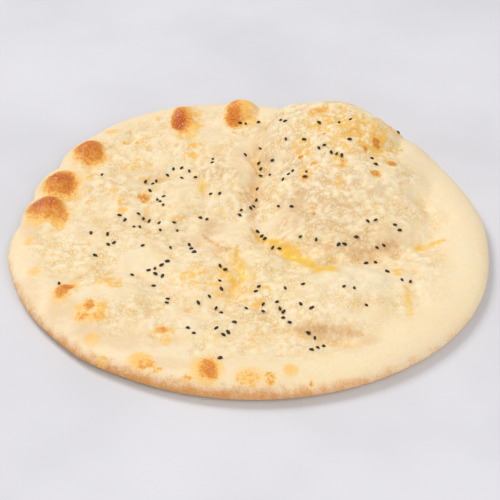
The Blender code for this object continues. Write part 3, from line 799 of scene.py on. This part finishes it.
def maths(tree, operation, first, second=0.0):
    """The output of a Math node."""
    return output(tree, "ShaderNodeMath", "Value", {0: first, 1: second}, operation=operation)


def times(tree, first, second):
    """Two values multiplied."""
    return maths(tree, "MULTIPLY", first, second)


def plus(tree, first, second):
    """Two values added."""
    return maths(tree, "ADD", first, second)


def less(tree, whole, value):
    """What is left of a whole when a value is taken away."""
    return maths(tree, "SUBTRACT", whole, value)


def varied(tree, value, masks, **swings):
    """A value that swings about itself with masks, each named with the size of its swing."""
    for name, swing in swings.items():
        value = plus(tree, value, times(tree, less(tree, masks[name], 0.5), swing))
    return value


def eased(tree, value, low, high, new_low=0.0, new_high=1.0):
    """A value eased from one range into another."""
    inputs = {"Value": value, 1: low, 2: high, 3: new_low, 4: new_high}
    return output(tree, "ShaderNodeMapRange", "Result", inputs, interpolation_type="SMOOTHSTEP")


def shown(tree, value, what):
    """How far something shows at a value, by its levels."""
    return eased(tree, value, *LEVELS[what])


def blended(tree, share, first, second):
    """Two colours blended by a share."""
    inputs = {0: share, 6: first, 7: second}
    return output(tree, "ShaderNodeMix", 2, inputs, data_type="RGBA")


def layered(tree, colour, *layers):
    """A colour with others laid over it in turn, each with the share that it covers."""
    for share, over in layers:
        colour = blended(tree, share, colour, over)
    return colour


def carried(tree, name):
    """A value that the crust's vertices carry, in a material."""
    return output(tree, "ShaderNodeAttribute", "Fac", attribute_name=name)


def scaled(tree, vector, scale):
    """A vector times a number."""
    inputs = {0: vector, "Scale": scale}
    return output(tree, "ShaderNodeVectorMath", "Vector", inputs, operation="SCALE")


def noise(tree, vector, size, detail):
    """Soft noise with lumps of one size."""
    inputs = {"Vector": vector, "Scale": maths(tree, "DIVIDE", 1.0, size), "Detail": detail}
    return output(tree, "ShaderNodeTexNoise", "Fac", inputs)


def cell_distance(tree, vector, size, feature="SMOOTH_F1"):
    """Distance from the middles, or from the edges, of cells of one size."""
    inputs = {"Vector": vector, "Scale": maths(tree, "DIVIDE", 1.0, size)}
    return output(tree, "ShaderNodeTexVoronoi", "Distance", inputs, feature=feature)


def apply_modifiers(obj):
    """Replaces an object's mesh with the one that its modifiers make."""
    bpy.context.view_layer.update()
    graph = bpy.context.evaluated_depsgraph_get()
    made = bpy.data.meshes.new_from_object(obj.evaluated_get(graph))
    name = obj.name
    obj.modifiers.clear()
    old = obj.data
    obj.data = made
    bpy.data.meshes.remove(old)
    made.name = name


def add_socket(tree, name, kind, in_out="INPUT", value=None):
    """Adds a named socket to a node group."""
    socket = tree.interface.new_socket(name, in_out=in_out, socket_type=f"NodeSocket{kind}")
    if value is not None:
        socket.default_value = value


def shader_group(name, inputs, outputs, fill):
    """A shader group, made once: its inputs with their usual values, its outputs, its nodes."""
    tree = bpy.data.node_groups.get(name)
    if tree is None:
        tree = bpy.data.node_groups.new(name, "ShaderNodeTree")
        add_socket(tree, "Vector", "Vector")
        for label, value in inputs.items():
            add_socket(tree, label, "Float", value=value)
        for label in outputs:
            add_socket(tree, label, "Float", in_out="OUTPUT")
        given = put(tree, "NodeGroupInput").outputs
        put(tree, "NodeGroupOutput", dict(zip(outputs, fill(tree, given))))
    return tree


def geometry_tree(name, sockets):
    """A new geometry tree with named inputs, and what comes in by them."""
    tree = bpy.data.node_groups.new(name, "GeometryNodeTree")
    add_socket(tree, "Geometry", "Geometry")
    add_socket(tree, "Geometry", "Geometry", in_out="OUTPUT")
    for label, kind in sockets.items():
        add_socket(tree, label, kind)
    return tree, put(tree, "NodeGroupInput").outputs


def attribute_of(tree, name, kind="FLOAT"):
    """A value that the points carry, in a geometry tree."""
    node = "GeometryNodeInputNamedAttribute"
    return output(tree, node, "Attribute", {"Name": name}, data_type=kind)


def stored(tree, geometry, name, value, kind="FLOAT"):
    """The geometry with a value stored on its points."""
    inputs = {"Geometry": geometry, "Name": name, "Value": value}
    settings = {"data_type": kind, "domain": "POINT"}
    return output(tree, "GeometryNodeStoreNamedAttribute", "Geometry", inputs, **settings)


def end_tree(tree, geometry, material):
    """Ends a geometry tree: instances become real and the whole takes its material."""
    whole = output(tree, "GeometryNodeRealizeInstances", "Geometry", {"Geometry": geometry})
    inputs = {"Geometry": whole, "Material": material}
    finished = output(tree, "GeometryNodeSetMaterial", "Geometry", inputs)
    put(tree, "NodeGroupOutput", {"Geometry": finished})
    return tree


def node_modifier(obj, tree, values):
    """Puts a geometry tree on an object, with its inputs set by name."""
    modifier = obj.modifiers.new(tree.name, "NODES")
    modifier.node_group = tree
    for item in tree.interface.items_tree:
        if item.in_out == "INPUT" and item.name in values:
            modifier[item.identifier] = values[item.name]


def mottle_mask(tree, given):
    """A mask of soft cloudy patches of one size."""
    clouds = noise(tree, given["Vector"], given["Size"], given["Detail"])
    return (eased(tree, clouds, given["Low"], given["High"]),)


def grain_height(tree, given):
    """The height of a fine wrinkled grain, from rounded cells and soft noise."""
    cells = cell_distance(tree, given["Vector"], given["Size"])
    celled = times(tree, shown(tree, cells, "grain"), given["Cells"])
    return (plus(tree, celled, noise(tree, given["Vector"], given["Size"], detail=4.0)),)


def curd_masks(tree, given):
    """Small rounded curds of one size, and the thin hollows between them."""
    place = scaled(tree, given["Vector"], maths(tree, "DIVIDE", 1.0, given["Size"]))
    inputs = {"Vector": place, "Scale": CURD_WARP_SCALE, "Detail": 2.0}
    warp = output(tree, "ShaderNodeTexNoise", "Color", inputs)
    inputs = {0: warp, 1: (CURD_WARP, CURD_WARP, CURD_WARP), 2: place}
    pushed = output(tree, "ShaderNodeVectorMath", "Vector", inputs, operation="MULTIPLY_ADD")
    top = cell_distance(tree, pushed, size=1.0, feature="F1")
    hollow = cell_distance(tree, pushed, size=1.0, feature="DISTANCE_TO_EDGE")
    return shown(tree, top, "curd tops"), shown(tree, hollow, "curd hollows")


def mottle(tree, vector, size, low=0.35, high=0.65, detail=3.0):
    """The mask of a mottle group placed in a material."""
    inputs = {"Size": size, "Detail": detail, "Low": low, "High": high}
    group = shader_group("mottle", inputs, ("Mask",), mottle_mask)
    return output(tree, "ShaderNodeGroup", "Mask", {"Vector": vector, **inputs}, node_tree=group)


def grain(tree, vector, size, cells=0.5):
    """The height of a grain group placed in a material."""
    inputs = {"Size": size, "Cells": cells}
    group = shader_group("grain", inputs, ("Height",), grain_height)
    return output(tree, "ShaderNodeGroup", "Height", {"Vector": vector, **inputs}, node_tree=group)


def empty_material(name):
    """A material with its Principled shader, its output and its Object coordinates."""
    material = bpy.data.materials.get(name) or bpy.data.materials.new(name)
    material.use_nodes = True
    tree = material.node_tree
    tree.nodes.clear()
    shader = put(tree, "ShaderNodeBsdfPrincipled")
    put(tree, "ShaderNodeOutputMaterial", {"Surface": shader.outputs["BSDF"]})
    return material, tree, shader, output(tree, "ShaderNodeTexCoord", "Object")


def grain_bump(tree, vector, finish):
    """The bump of a plain surface: its strength, depth and grain."""
    height = grain(tree, vector, finish.grain_size, finish.grain_cells)
    return {"Strength": finish.bump_strength, "Distance": finish.bump_depth, "Height": height}


def shaded(tree, shader, colour, roughness, bump):
    """Gives a shader its colour, its roughness and its bump."""
    normal = output(tree, "ShaderNodeBump", "Normal", bump)
    plug(tree, shader, {"Base Color": colour, "Roughness": roughness, "Normal": normal})


def dough_colour(tree, look, masks):
    """Colour of the bare skin: cream dough and yellower patches, with painted highlight on the
    curds' tops and on faces turned from the light, painted shade in the hollows, sunk places and
    creases, and beige tints that are partly painted shade.
    """
    warm = varied(tree, times(tree, masks["broad"], SHARES["warm"]), masks, small=0.4)
    in_field = times(tree, masks["field"], SHARES["warmer in the field"])
    warm = times(tree, warm, plus(tree, SHARES["warm on the rim"], in_field))
    # Painted shade in the sunk places.
    sunk = times(tree, masks["sunk"], varied(tree, SHARES["sunk"], masks, small=1.0))
    sunk = varied(tree, sunk, masks, fine=0.15, top=-0.2)
    # The tan marks are partly painted shade.
    tan = varied(tree, SHARES["tan"], masks, small=0.6, top=-0.6)
    tan = times(tree, masks["tan"], tan)
    # Painted highlight on the curds' tops, with the painted light of the pale marks.
    pale = varied(tree, times(tree, masks["top"], SHARES["pale curds"]), masks, small=0.2)
    pale = maths(tree, "MAXIMUM", times(tree, masks["pale"], SHARES["pale"]), pale)
    # Painted shade along the creases.
    browned = varied(tree, masks["browned"], masks, fine=0.4)
    return layered(
        tree,
        look.dough_colour,
        (warm, look.warm_colour),
        (masks["hollow"], look.hollow_shade_colour),
        (shown(tree, sunk, "sunk"), look.sunk_shade_colour),
        (tan, look.tan_and_shade_colour),
        (pale, look.painted_highlight_colour),
        (shown(tree, browned, "browned"), look.crease_shade_colour),
    )


def baked_colour(tree, look, masks, colour, toast):
    """Colour with the rim's tan foot, the golden mottling and the toast laid over it, and painted
    glints on the toast.
    """
    rim = shown(tree, varied(tree, masks["rim_tan"], masks, small=0.25, speck=0.25), "rim tan")
    spotted = times(tree, masks["field"], SHARES["spots in the gold"])
    spots = times(tree, less(tree, masks["spots"], 0.5), spotted)
    gold = times(tree, masks["golden"], plus(tree, 1.0, spots))
    gold = varied(tree, gold, masks, top=-0.5, fine=0.2)
    painted_glints = shown(tree, masks["speck"], "painted_glints")
    return layered(
        tree,
        colour,
        (times(tree, rim, shown(tree, masks["rim_tan"], "rim tan's edge")), look.rim_colour),
        (shown(tree, gold, "gold"), look.golden_colour),
        (shown(tree, gold, "toast on gold"), look.toasted_colour),
        (shown(tree, toast, "gold round toast"), look.golden_colour),
        (shown(tree, toast, "toast"), look.toasted_colour),
        (shown(tree, toast, "scorch"), look.darkest_colour),
        (times(tree, painted_glints, shown(tree, toast, "flakes on toast")), look.painted_highlight_colour),
    )


def under_colour(tree, vector, look, masks):
    """Colour of the underside: tan, with toasted blotches where it met the oven."""
    blotch = varied(tree, SHARES["blotches"], masks, fine=0.8)
    blotch = times(tree, mottle(tree, vector, *BLOTCHES), blotch)
    colour = blended(tree, masks["small"], look.warm_colour, look.rim_colour)
    return blended(tree, blotch, colour, look.toasted_colour)


def crust_masks(tree, vector, look):
    """What the crust's vertices carry, the masks of its mottling and those of its curds."""
    masks = {name: carried(tree, name) for name in CARRIED}
    masks |= {name: mottle(tree, vector, *sizes) for name, sizes in MOTTLES.items()}
    inputs = {"Size": look.curd_size * FINE_CURDS}
    group = shader_group("curds", inputs, ("Top", "Hollow"), curd_masks)
    curds = put(tree, "ShaderNodeGroup", {"Vector": vector, **inputs}, node_tree=group).outputs
    fine = times(tree, curds["Top"], SHARES["fine curds"])
    top = maths(tree, "MAXIMUM", masks["curd"], fine)
    hollow = times(tree, less(tree, 1.0, top), curds["Hollow"])
    # The curds' tops are given painted highlight and their hollows painted shade.
    masks["top"] = times(tree, top, masks["curdled"])
    masks["hollow"] = times(tree, hollow, masks["curdled"])
    return masks


def crust_material(look):
    """Baked dough: cream skin with curds, golden mottling, toasted bubbles and butter, with
    painted light and shade on the curds, creases and faces.
    """
    material, tree, shader, vector = empty_material("naan_crust")
    masks = crust_masks(tree, vector, look)
    ragged = varied(tree, 0.0, masks, spots=0.2, fine=0.25, speck=0.25)
    ragged = times(tree, ragged, shown(tree, masks["toasted"], "toast's edge"))
    butter = varied(tree, masks["buttered"], masks, small=0.25, fine=0.15)
    butter = shown(tree, butter, "butter")
    colour = dough_colour(tree, look, masks)
    colour = baked_colour(tree, look, masks, colour, plus(tree, masks["toasted"], ragged))
    under = shown(tree, masks["underside"], "underside")
    under_skin = under_colour(tree, vector, look, masks)
    colour = layered(tree, colour, (butter, look.butter_colour), (under, under_skin))
    dry = less(tree, 1.0, butter)
    roughness = times(tree, varied(tree, look.dough_roughness, masks, small=0.1), dry)
    roughness = plus(tree, roughness, times(tree, butter, look.butter_roughness))
    height = varied(tree, 0.0, masks, top=0.5, hollow=-0.5)
    fine = times(tree, grain(tree, vector, SKIN_GRAIN), SHARES["grain"])
    bare = plus(tree, times(tree, dry, 1.0 - SHARES["bump in butter"]), SHARES["bump in butter"])
    height = times(tree, plus(tree, height, fine), bare)
    bump = {"Strength": 1.0, "Distance": look.grain_depth, "Height": height}
    shaded(tree, shader, colour, roughness, bump)
    plug(tree, shader, DOUGH_DEPTH)
    return material


def seed_material(look):
    """Matt black wrinkled husk with a slight brown cast."""
    material, tree, shader, vector = empty_material("nigella_husk")
    patch = mottle(tree, vector, HUSK.patch_size)
    colour = blended(tree, patch, look.husk_colour, look.worn_colour)
    roughness = eased(tree, patch, 0.0, 1.0, *HUSK_ROUGHNESS)
    shaded(tree, shader, colour, roughness, grain_bump(tree, vector, HUSK))
    return material


def floor_material(look):
    """Plain pale studio surface, with cloudy patches of painted shade that stand in for uneven
    light.
    """
    material, tree, shader, vector = empty_material("studio_floor")
    cloud = mottle(tree, vector, FLOOR.patch_size, low=0.3, high=0.7)
    shade = tuple(channel * FLOOR_SHADE for channel in look.floor_colour[:3])
    colour = blended(tree, cloud, look.floor_colour, (*shade, 1.0))
    shaded(tree, shader, colour, FLOOR_ROUGHNESS, grain_bump(tree, vector, FLOOR))
    return material


def curd_tree():
    """Geometry tree: carves the curds and wrinkles of the baked skin into the crust."""
    sockets = {**dict.fromkeys(CURD_SETTINGS, "Float"), "Crust": "Material"}
    tree, given = geometry_tree("curd_skin", sockets)
    place = output(tree, "GeometryNodeInputPosition", "Position")
    field = attribute_of(tree, "field")
    patches = noise(tree, place, given["Patch Size"], detail=2.0)
    patches = plus(tree, patches, attribute_of(tree, "curdled"))
    curdled = times(tree, shown(tree, patches, "curd patches"), field)
    rounded = shown(tree, cell_distance(tree, place, given["Curd Size"]), "curds")
    wrinkled = noise(tree, place, given["Wrinkle Size"], detail=3.0)
    wrinkled = shown(tree, wrinkled, "wrinkles")
    curd = times(tree, rounded, shown(tree, wrinkled, "curds on wrinkles"))
    sink = times(tree, less(tree, rounded, 1.0), times(tree, given["Curd Depth"], curdled))
    relief = varied(tree, SHARES["wrinkle depth"], {"curdled": curdled}, curdled=0.8)
    relief = times(tree, given["Wrinkle Depth"], times(tree, relief, field))
    fold = times(tree, less(tree, wrinkled, 1.0), relief)
    normal = output(tree, "GeometryNodeInputNormal", "Normal")
    geometry = stored(tree, given["Geometry"], "curd", curd)
    geometry = stored(tree, geometry, "curdled", curdled)
    inputs = {"Geometry": geometry, "Offset": scaled(tree, normal, plus(tree, sink, fold))}
    carved = output(tree, "GeometryNodeSetPosition", "Geometry", inputs)
    return end_tree(tree, carved, given["Crust"])


def seed_places():
    """Plan point, heading and size of each seed. One that finds no room is left out."""
    draw = random.Random(SEED_DRAW)
    places = []
    for row in SEED_DRIFTS:
        drift = Drift(*row) if len(row) > 2 else Drift(*row, *row, 1, 0)
        for index in range(drift.count):
            for _ in range(SEED_TRIES):
                share = (index + draw.random()) / drift.count
                x = drift.x1 + (drift.x2 - drift.x1) * share + draw.uniform(-1, 1) * drift.spread
                y = drift.y1 + (drift.y2 - drift.y1) * share + draw.uniform(-1, 1) * drift.spread
                if all(math.hypot(x - other[0], y - other[1]) > SEED_GAP for other in places):
                    places.append((x, y, draw.uniform(0.0, math.tau), draw.uniform(*SEED_SIZES)))
                    break
    return places


def seed_mesh(look):
    """One nigella seed: a ridged drop, blunt at one end and drawn out at the other."""
    bm = bmesh.new()
    bmesh.ops.create_uvsphere(bm, u_segments=SEED_SIDES, v_segments=SEED_RINGS, radius=1.0)
    for vert in bm.verts:
        along = vert.co.z
        ridges = SEED_RIDGE * math.cos(SEED_RIDGES * math.atan2(vert.co.y, vert.co.x))
        slim = (1.0 - look.seed_taper * max(along, 0.0)) * (1.0 + ridges)
        across = vert.co.x * slim + SEED_BEND * along * along
        vert.co = (
            along * look.seed_length / 2,
            across * look.seed_width / 2,
            vert.co.y * slim * look.seed_thickness / 2,
        )
    bmesh.ops.recalc_face_normals(bm, faces=bm.faces)
    for face in bm.faces:
        face.smooth = True
    mesh = bpy.data.meshes.new("nigella_seed")
    bm.to_mesh(mesh)
    bm.free()
    return mesh


def seed_points_mesh():
    """One vertex above the crust for each seed, which carries its heading and size."""
    places = np.array(seed_places())
    points = np.stack((places[:, 0], places[:, 1], np.full(len(places), SEED_DROP_FROM)), axis=1)
    middle = np.array((*plan_middle(), 0.0))
    mesh = bpy.data.meshes.new("seed_points")
    mesh.from_pydata(((points - middle) * MM).tolist(), [], [])
    carry(mesh, "heading", places[:, 2])
    carry(mesh, "seed_size", places[:, 3])
    return mesh


def seed_tree():
    """Geometry tree: drops a seed from each point onto the crust and lays it along the skin."""
    sockets = {"Crust Object": "Object", "Seed Object": "Object", "Rise": "Float"}
    tree, given = geometry_tree("dropped_seeds", {**sockets, "Husk": "Material"})
    info = "GeometryNodeObjectInfo"
    crust = output(tree, info, "Geometry", {"Object": given["Crust Object"]})
    seed = output(tree, info, "Geometry", {"Object": given["Seed Object"]})
    size = attribute_of(tree, "seed_size")
    down = {"Target Geometry": crust, "Ray Direction": (0.0, 0.0, -1.0), "Ray Length": 1.0}
    ray = put(tree, "GeometryNodeRaycast", down).outputs
    raised = scaled(tree, ray["Hit Normal"], times(tree, given["Rise"], size))
    inputs = {0: ray["Hit Position"], 1: raised}
    place = output(tree, "ShaderNodeVectorMath", "Vector", inputs, operation="ADD")
    inputs = {"Vector": ray["Hit Normal"]}
    laid = output(tree, "FunctionNodeAlignRotationToVector", "Rotation", inputs, axis="Z")
    inputs = {"Axis": (0.0, 0.0, 1.0), "Angle": attribute_of(tree, "heading")}
    turn = output(tree, "FunctionNodeAxisAngleToRotation", "Rotation", inputs)
    inputs = {"Rotation": laid, "Rotate By": turn}
    rotate = "FunctionNodeRotateRotation"
    turned = output(tree, rotate, "Rotation", inputs, rotation_space="LOCAL")
    geometry = stored(tree, given["Geometry"], "laid", turned, "QUATERNION")
    inputs = {"Geometry": geometry, "Position": place}
    dropped = output(tree, "GeometryNodeSetPosition", "Geometry", inputs)
    laid_as = attribute_of(tree, "laid", "QUATERNION")
    inputs = {"Points": dropped, "Instance": seed, "Rotation": laid_as, "Scale": size}
    scattered = output(tree, "GeometryNodeInstanceOnPoints", "Instances", inputs)
    return end_tree(tree, scattered, given["Husk"])


def declare_piece(piece):
    """Says that a finished piece rides on the root and stands for the bread's solid."""
    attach(piece, "root")
    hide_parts("butter_naan")


class CrustLook(bpy.types.PropertyGroup):
    """Sizes and colours of the baked dough."""

    curd_size: length_setting(
        "Curd size", "Distance between neighbouring curds of the skin", 3.2 * MM, 0.001, 0.02
    )
    curd_depth: length_setting(
        "Curd depth", "How deep the hollows between curds are", 0.45 * MM, 0.0, 0.003
    )
    wrinkle_size: length_setting(
        "Wrinkle size", "Distance between the wrinkles of the skin", 6.0 * MM, 0.001, 0.05
    )
    wrinkle_depth: length_setting(
        "Wrinkle depth", "How deep the wrinkles of the skin are", 0.45 * MM, 0.0, 0.003
    )
    patch_size: length_setting(
        "Patch size", "Size of the patches that the curds gather in", 20.0 * MM, 0.002, 0.1
    )
    grain_depth: length_setting(
        "Grain depth", "Depth of the finest grain, which is only shaded", 0.28 * MM, 0.0, 0.002
    )
    dough_roughness: share_setting("Dough roughness", "How matt the dry skin is", 0.52)
    butter_roughness: share_setting("Butter roughness", "How matt the melted butter is", 0.22)
    dough_colour: colour_setting("Dough", "Pale skin of the rim and the field", 249, 231, 199)
    # Painted shade in the hollows between the curds.
    hollow_shade_colour: colour_setting("Hollows", "Skin between the curds", 237, 196, 120)
    warm_colour: colour_setting("Warm dough", "Yellower patches of the skin", 249, 219, 162)
    # Painted highlight: the curds' tops, the glints on the toast and the painted light of the pale
    # marks.
    painted_highlight_colour: colour_setting("Curds", "Whitish tops of the curds", 255, 240, 209)
    # Painted shade in the sunk places: the creases and the feet of the pockets.
    sunk_shade_colour: colour_setting(
        "Folds", "Golden tan of the creases and of the feet of the pockets", 234, 190, 116
    )
    # Partly the skin's own beige, partly painted shade on the faces turned from the light.
    tan_and_shade_colour: colour_setting("Tan", "Beige tint where the skin is thin", 221, 187, 138)
    # Painted shade along the creases.
    crease_shade_colour: colour_setting("Creases", "Brown of the folds", 216, 162, 100)
    rim_colour: colour_setting(
        "Rim foot", "Tan of the rim where it was baked against the oven", 219, 156, 92
    )
    golden_colour: colour_setting("Golden", "Golden mottling", 254, 202, 108)
    toasted_colour: colour_setting("Toasted", "Orange brown of the toasted spots", 226, 138, 30)
    darkest_colour: colour_setting("Darkest", "Brown of the bubbles' tops", 198, 92, 20)
    butter_colour: colour_setting("Butter", "Melted butter in the creases", 247, 203, 88)


class SeedLook(bpy.types.PropertyGroup):
    """Sizes and colours of the nigella seeds."""

    seed_length: length_setting("Length", "Length of a seed", 2.9 * MM, 0.001, 0.006)
    seed_width: length_setting("Width", "Width of a seed", 1.75 * MM, 0.0005, 0.004)
    seed_thickness: length_setting("Thickness", "Thickness of a seed", 1.6 * MM, 0.0005, 0.004)
    seed_taper: share_setting("Taper", "How far the narrow end is drawn in", 0.35, 0.9)
    sunk_share: share_setting(
        "Sunk", "Share of a seed's thickness that is sunk into the crust", 0.28, 0.5
    )
    husk_colour: colour_setting("Husk", "Black of the husk", 29, 18, 13)
    worn_colour: colour_setting("Worn husk", "Brownish patches of the husk", 58, 42, 34)


class StageLook(bpy.types.PropertyGroup):
    """Floor, lights and camera."""

    camera_elevation: number_setting(
        "Elevation",
        "How steeply the camera looks down",
        math.radians(38.0),
        0.0,
        math.pi / 2,
        subtype="ANGLE",
    )
    camera_distance: length_setting(
        "Distance", "From the camera to the point that it looks at", 0.90, 0.2, 5.0
    )
    lens: number_setting("Lens", "Focal length in millimetres", 118.7, 20.0, 300.0)
    looks_at: FloatVectorProperty(
        name="Looks at",
        description="Point in the middle of the picture",
        size=3,
        subtype="TRANSLATION",
        unit="LENGTH",
        default=(0.0006, -0.0145, 0.0050),
    )
    key_power: number_setting(
        "Key light", "Power of the large light behind on the left", 42.8, 0.0, 200.0, unit="POWER"
    )
    fill_power: number_setting(
        "Fill light",
        "Power of the soft light in front on the right",
        11.0,
        0.0,
        200.0,
        unit="POWER",
    )
    surround: number_setting("Surround", "Brightness of the white surroundings", 0.46, 0.0, 3.0)
    floor_colour: colour_setting("Floor", "Pale grey of the floor", 228, 229, 237)
    floor_reach: IntProperty(
        name="Floor reach",
        description="Half the floor's side, in metres",
        default=4,
        min=1,
        max=20,
    )


class NAAN_OT_bake_bread(bpy.types.Operator):
    """Make the bread with its curds, baked marks and butter"""

    bl_idname = "naan.bake_bread"
    bl_label = "Bake Bread"

    def execute(self, context):
        look = context.scene.naan_crust
        points, faces, values = crust_points()
        mesh = bpy.data.meshes.new("naan_bread")
        mesh.from_pydata(placed_in_solid(points).tolist(), [], faces)
        for name, value in values.items():
            carry(mesh, name, value)
        mesh.shade_smooth()
        bread = fresh_object("naan_bread", mesh)
        sizes = {label: getattr(look, name) for label, name in CURD_SETTINGS.items()}
        node_modifier(bread, curd_tree(), {**sizes, "Crust": crust_material(look)})
        apply_modifiers(bread)
        declare_piece(bread)
        return {"FINISHED"}


class NAAN_OT_drop_seeds(bpy.types.Operator):
    """Drop the nigella seeds onto the bread"""

    bl_idname = "naan.drop_seeds"
    bl_label = "Drop Seeds"

    def execute(self, context):
        look = context.scene.naan_seeds
        bread = bpy.data.objects.get("naan_bread")
        if bread is None:
            raise RuntimeError("bake the bread first: there is nothing for the seeds to lie on")
        pattern = fresh_object("one_seed", seed_mesh(look))
        seeds = fresh_object("nigella_seeds", seed_points_mesh())
        rise = (0.5 - look.sunk_share) * look.seed_thickness
        values = {"Crust Object": bread, "Seed Object": pattern, "Rise": rise}
        node_modifier(seeds, seed_tree(), {**values, "Husk": seed_material(look)})
        apply_modifiers(seeds)
        bpy.data.objects.remove(pattern, do_unlink=True)
        declare_piece(seeds)
        return {"FINISHED"}


class NAAN_OT_set_stage(bpy.types.Operator):
    """Lay the floor and set the lights and the camera"""

    bl_idname = "naan.set_stage"
    bl_label = "Set Stage"

    def execute(self, context):
        look = context.scene.naan_stage
        lay_floor(look)
        set_lights(context.scene, look)
        set_camera(context.scene, look)
        return {"FINISHED"}


def lay_floor(look):
    """A wide plain floor just under the bread."""
    reach = look.floor_reach
    corners = ((-reach, -reach), (reach, -reach), (reach, reach), (-reach, reach))
    mesh = bpy.data.meshes.new("floor")
    mesh.from_pydata([(x, y, -FLOOR_DROP) for x, y in corners], [], [(0, 1, 2, 3)])
    mesh.materials.append(floor_material(look))
    floor = fresh_object("floor", mesh)


def aimed(scene, data, place, away):
    """Puts a light or a camera at a place, with its back to a direction."""
    obj = bpy.data.objects.new(data.name, data)
    obj.location = place
    obj.rotation_mode = "QUATERNION"
    obj.rotation_quaternion = (-away).to_track_quat("-Z", "Y")
    scene.collection.objects.link(obj)
    return obj


def area_light(scene, name, lamp, power):
    """A square soft light turned to the origin."""
    data = bpy.data.lights.new(name, "AREA")
    data.shape = "SQUARE"
    data.size = lamp.side
    data.energy = power
    data.color = lamp.tint
    aimed(scene, data, lamp.place, Vector(lamp.place))


def set_lights(scene, look):
    """White surroundings, a large light behind on the left and a weak one in front."""
    world = bpy.data.worlds.new("studio")
    world.use_nodes = True
    background = world.node_tree.nodes["Background"]
    background.inputs["Color"].default_value = SURROUND_TINT
    background.inputs["Strength"].default_value = look.surround
    scene.world = world
    area_light(scene, "key", KEY_LAMP, look.key_power)
    area_light(scene, "fill", FILL_LAMP, look.fill_power)


def set_camera(scene, look):
    """The camera at the height and distance that the bread is seen from."""
    data = bpy.data.cameras.new("camera")
    data.sensor_width = SENSOR_WIDTH
    data.lens = look.lens
    back = Vector((0.0, -math.cos(look.camera_elevation), math.sin(look.camera_elevation)))
    place = Vector(look.looks_at) + back * look.camera_distance
    scene.camera = aimed(scene, data, place, back)
    scene.view_settings.view_transform = "Standard"


# Where the scene keeps each set of settings, with the operator that uses it.
LOOKS = {
    "naan_crust": (CrustLook, "naan.bake_bread"),
    "naan_seeds": (SeedLook, "naan.drop_seeds"),
    "naan_stage": (StageLook, "naan.set_stage"),
}


class NAAN_PT_kitchen(bpy.types.Panel):
    """Lists the pieces of the naan with their sizes and colours"""

    bl_label = "Butter Naan"
    bl_idname = "NAAN_PT_kitchen"
    bl_space_type = "VIEW_3D"
    bl_region_type = "UI"
    bl_category = "Naan"

    def draw(self, context):
        for name, (_, operator) in LOOKS.items():
            box = self.layout.box()
            look = getattr(context.scene, name)
            for setting in look.bl_rna.properties.keys():
                if setting not in ("rna_type", "name"):
                    box.prop(look, setting)
            box.operator(operator)


CLASSES = (
    CrustLook,
    SeedLook,
    StageLook,
    NAAN_OT_bake_bread,
    NAAN_OT_drop_seeds,
    NAAN_OT_set_stage,
    NAAN_PT_kitchen,
)


def register():
    """Registers the classes and puts the settings on the scene."""
    for made in CLASSES:
        bpy.utils.register_class(made)
    for name, (look, _) in LOOKS.items():
        setattr(bpy.types.Scene, name, PointerProperty(type=look))


def unregister():
    """Takes the settings and the classes away again."""
    for name in LOOKS:
        delattr(bpy.types.Scene, name)
    for made in reversed(CLASSES):
        bpy.utils.unregister_class(made)


def clear_start():
    """Removes the objects that a new Blender file holds, but nothing of the frame."""
    kept = set(frame["nodes"].values()) | set(frame["bodies"].values())
    for obj in list(bpy.data.objects):
        if obj not in kept:
            bpy.data.objects.remove(obj, do_unlink=True)


def main():
    """Registers the add-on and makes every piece."""
    register()
    clear_start()
    bpy.ops.naan.bake_bread()
    bpy.ops.naan.drop_seeds()
    bpy.ops.naan.set_stage()


if __name__ == "__main__":
    main()
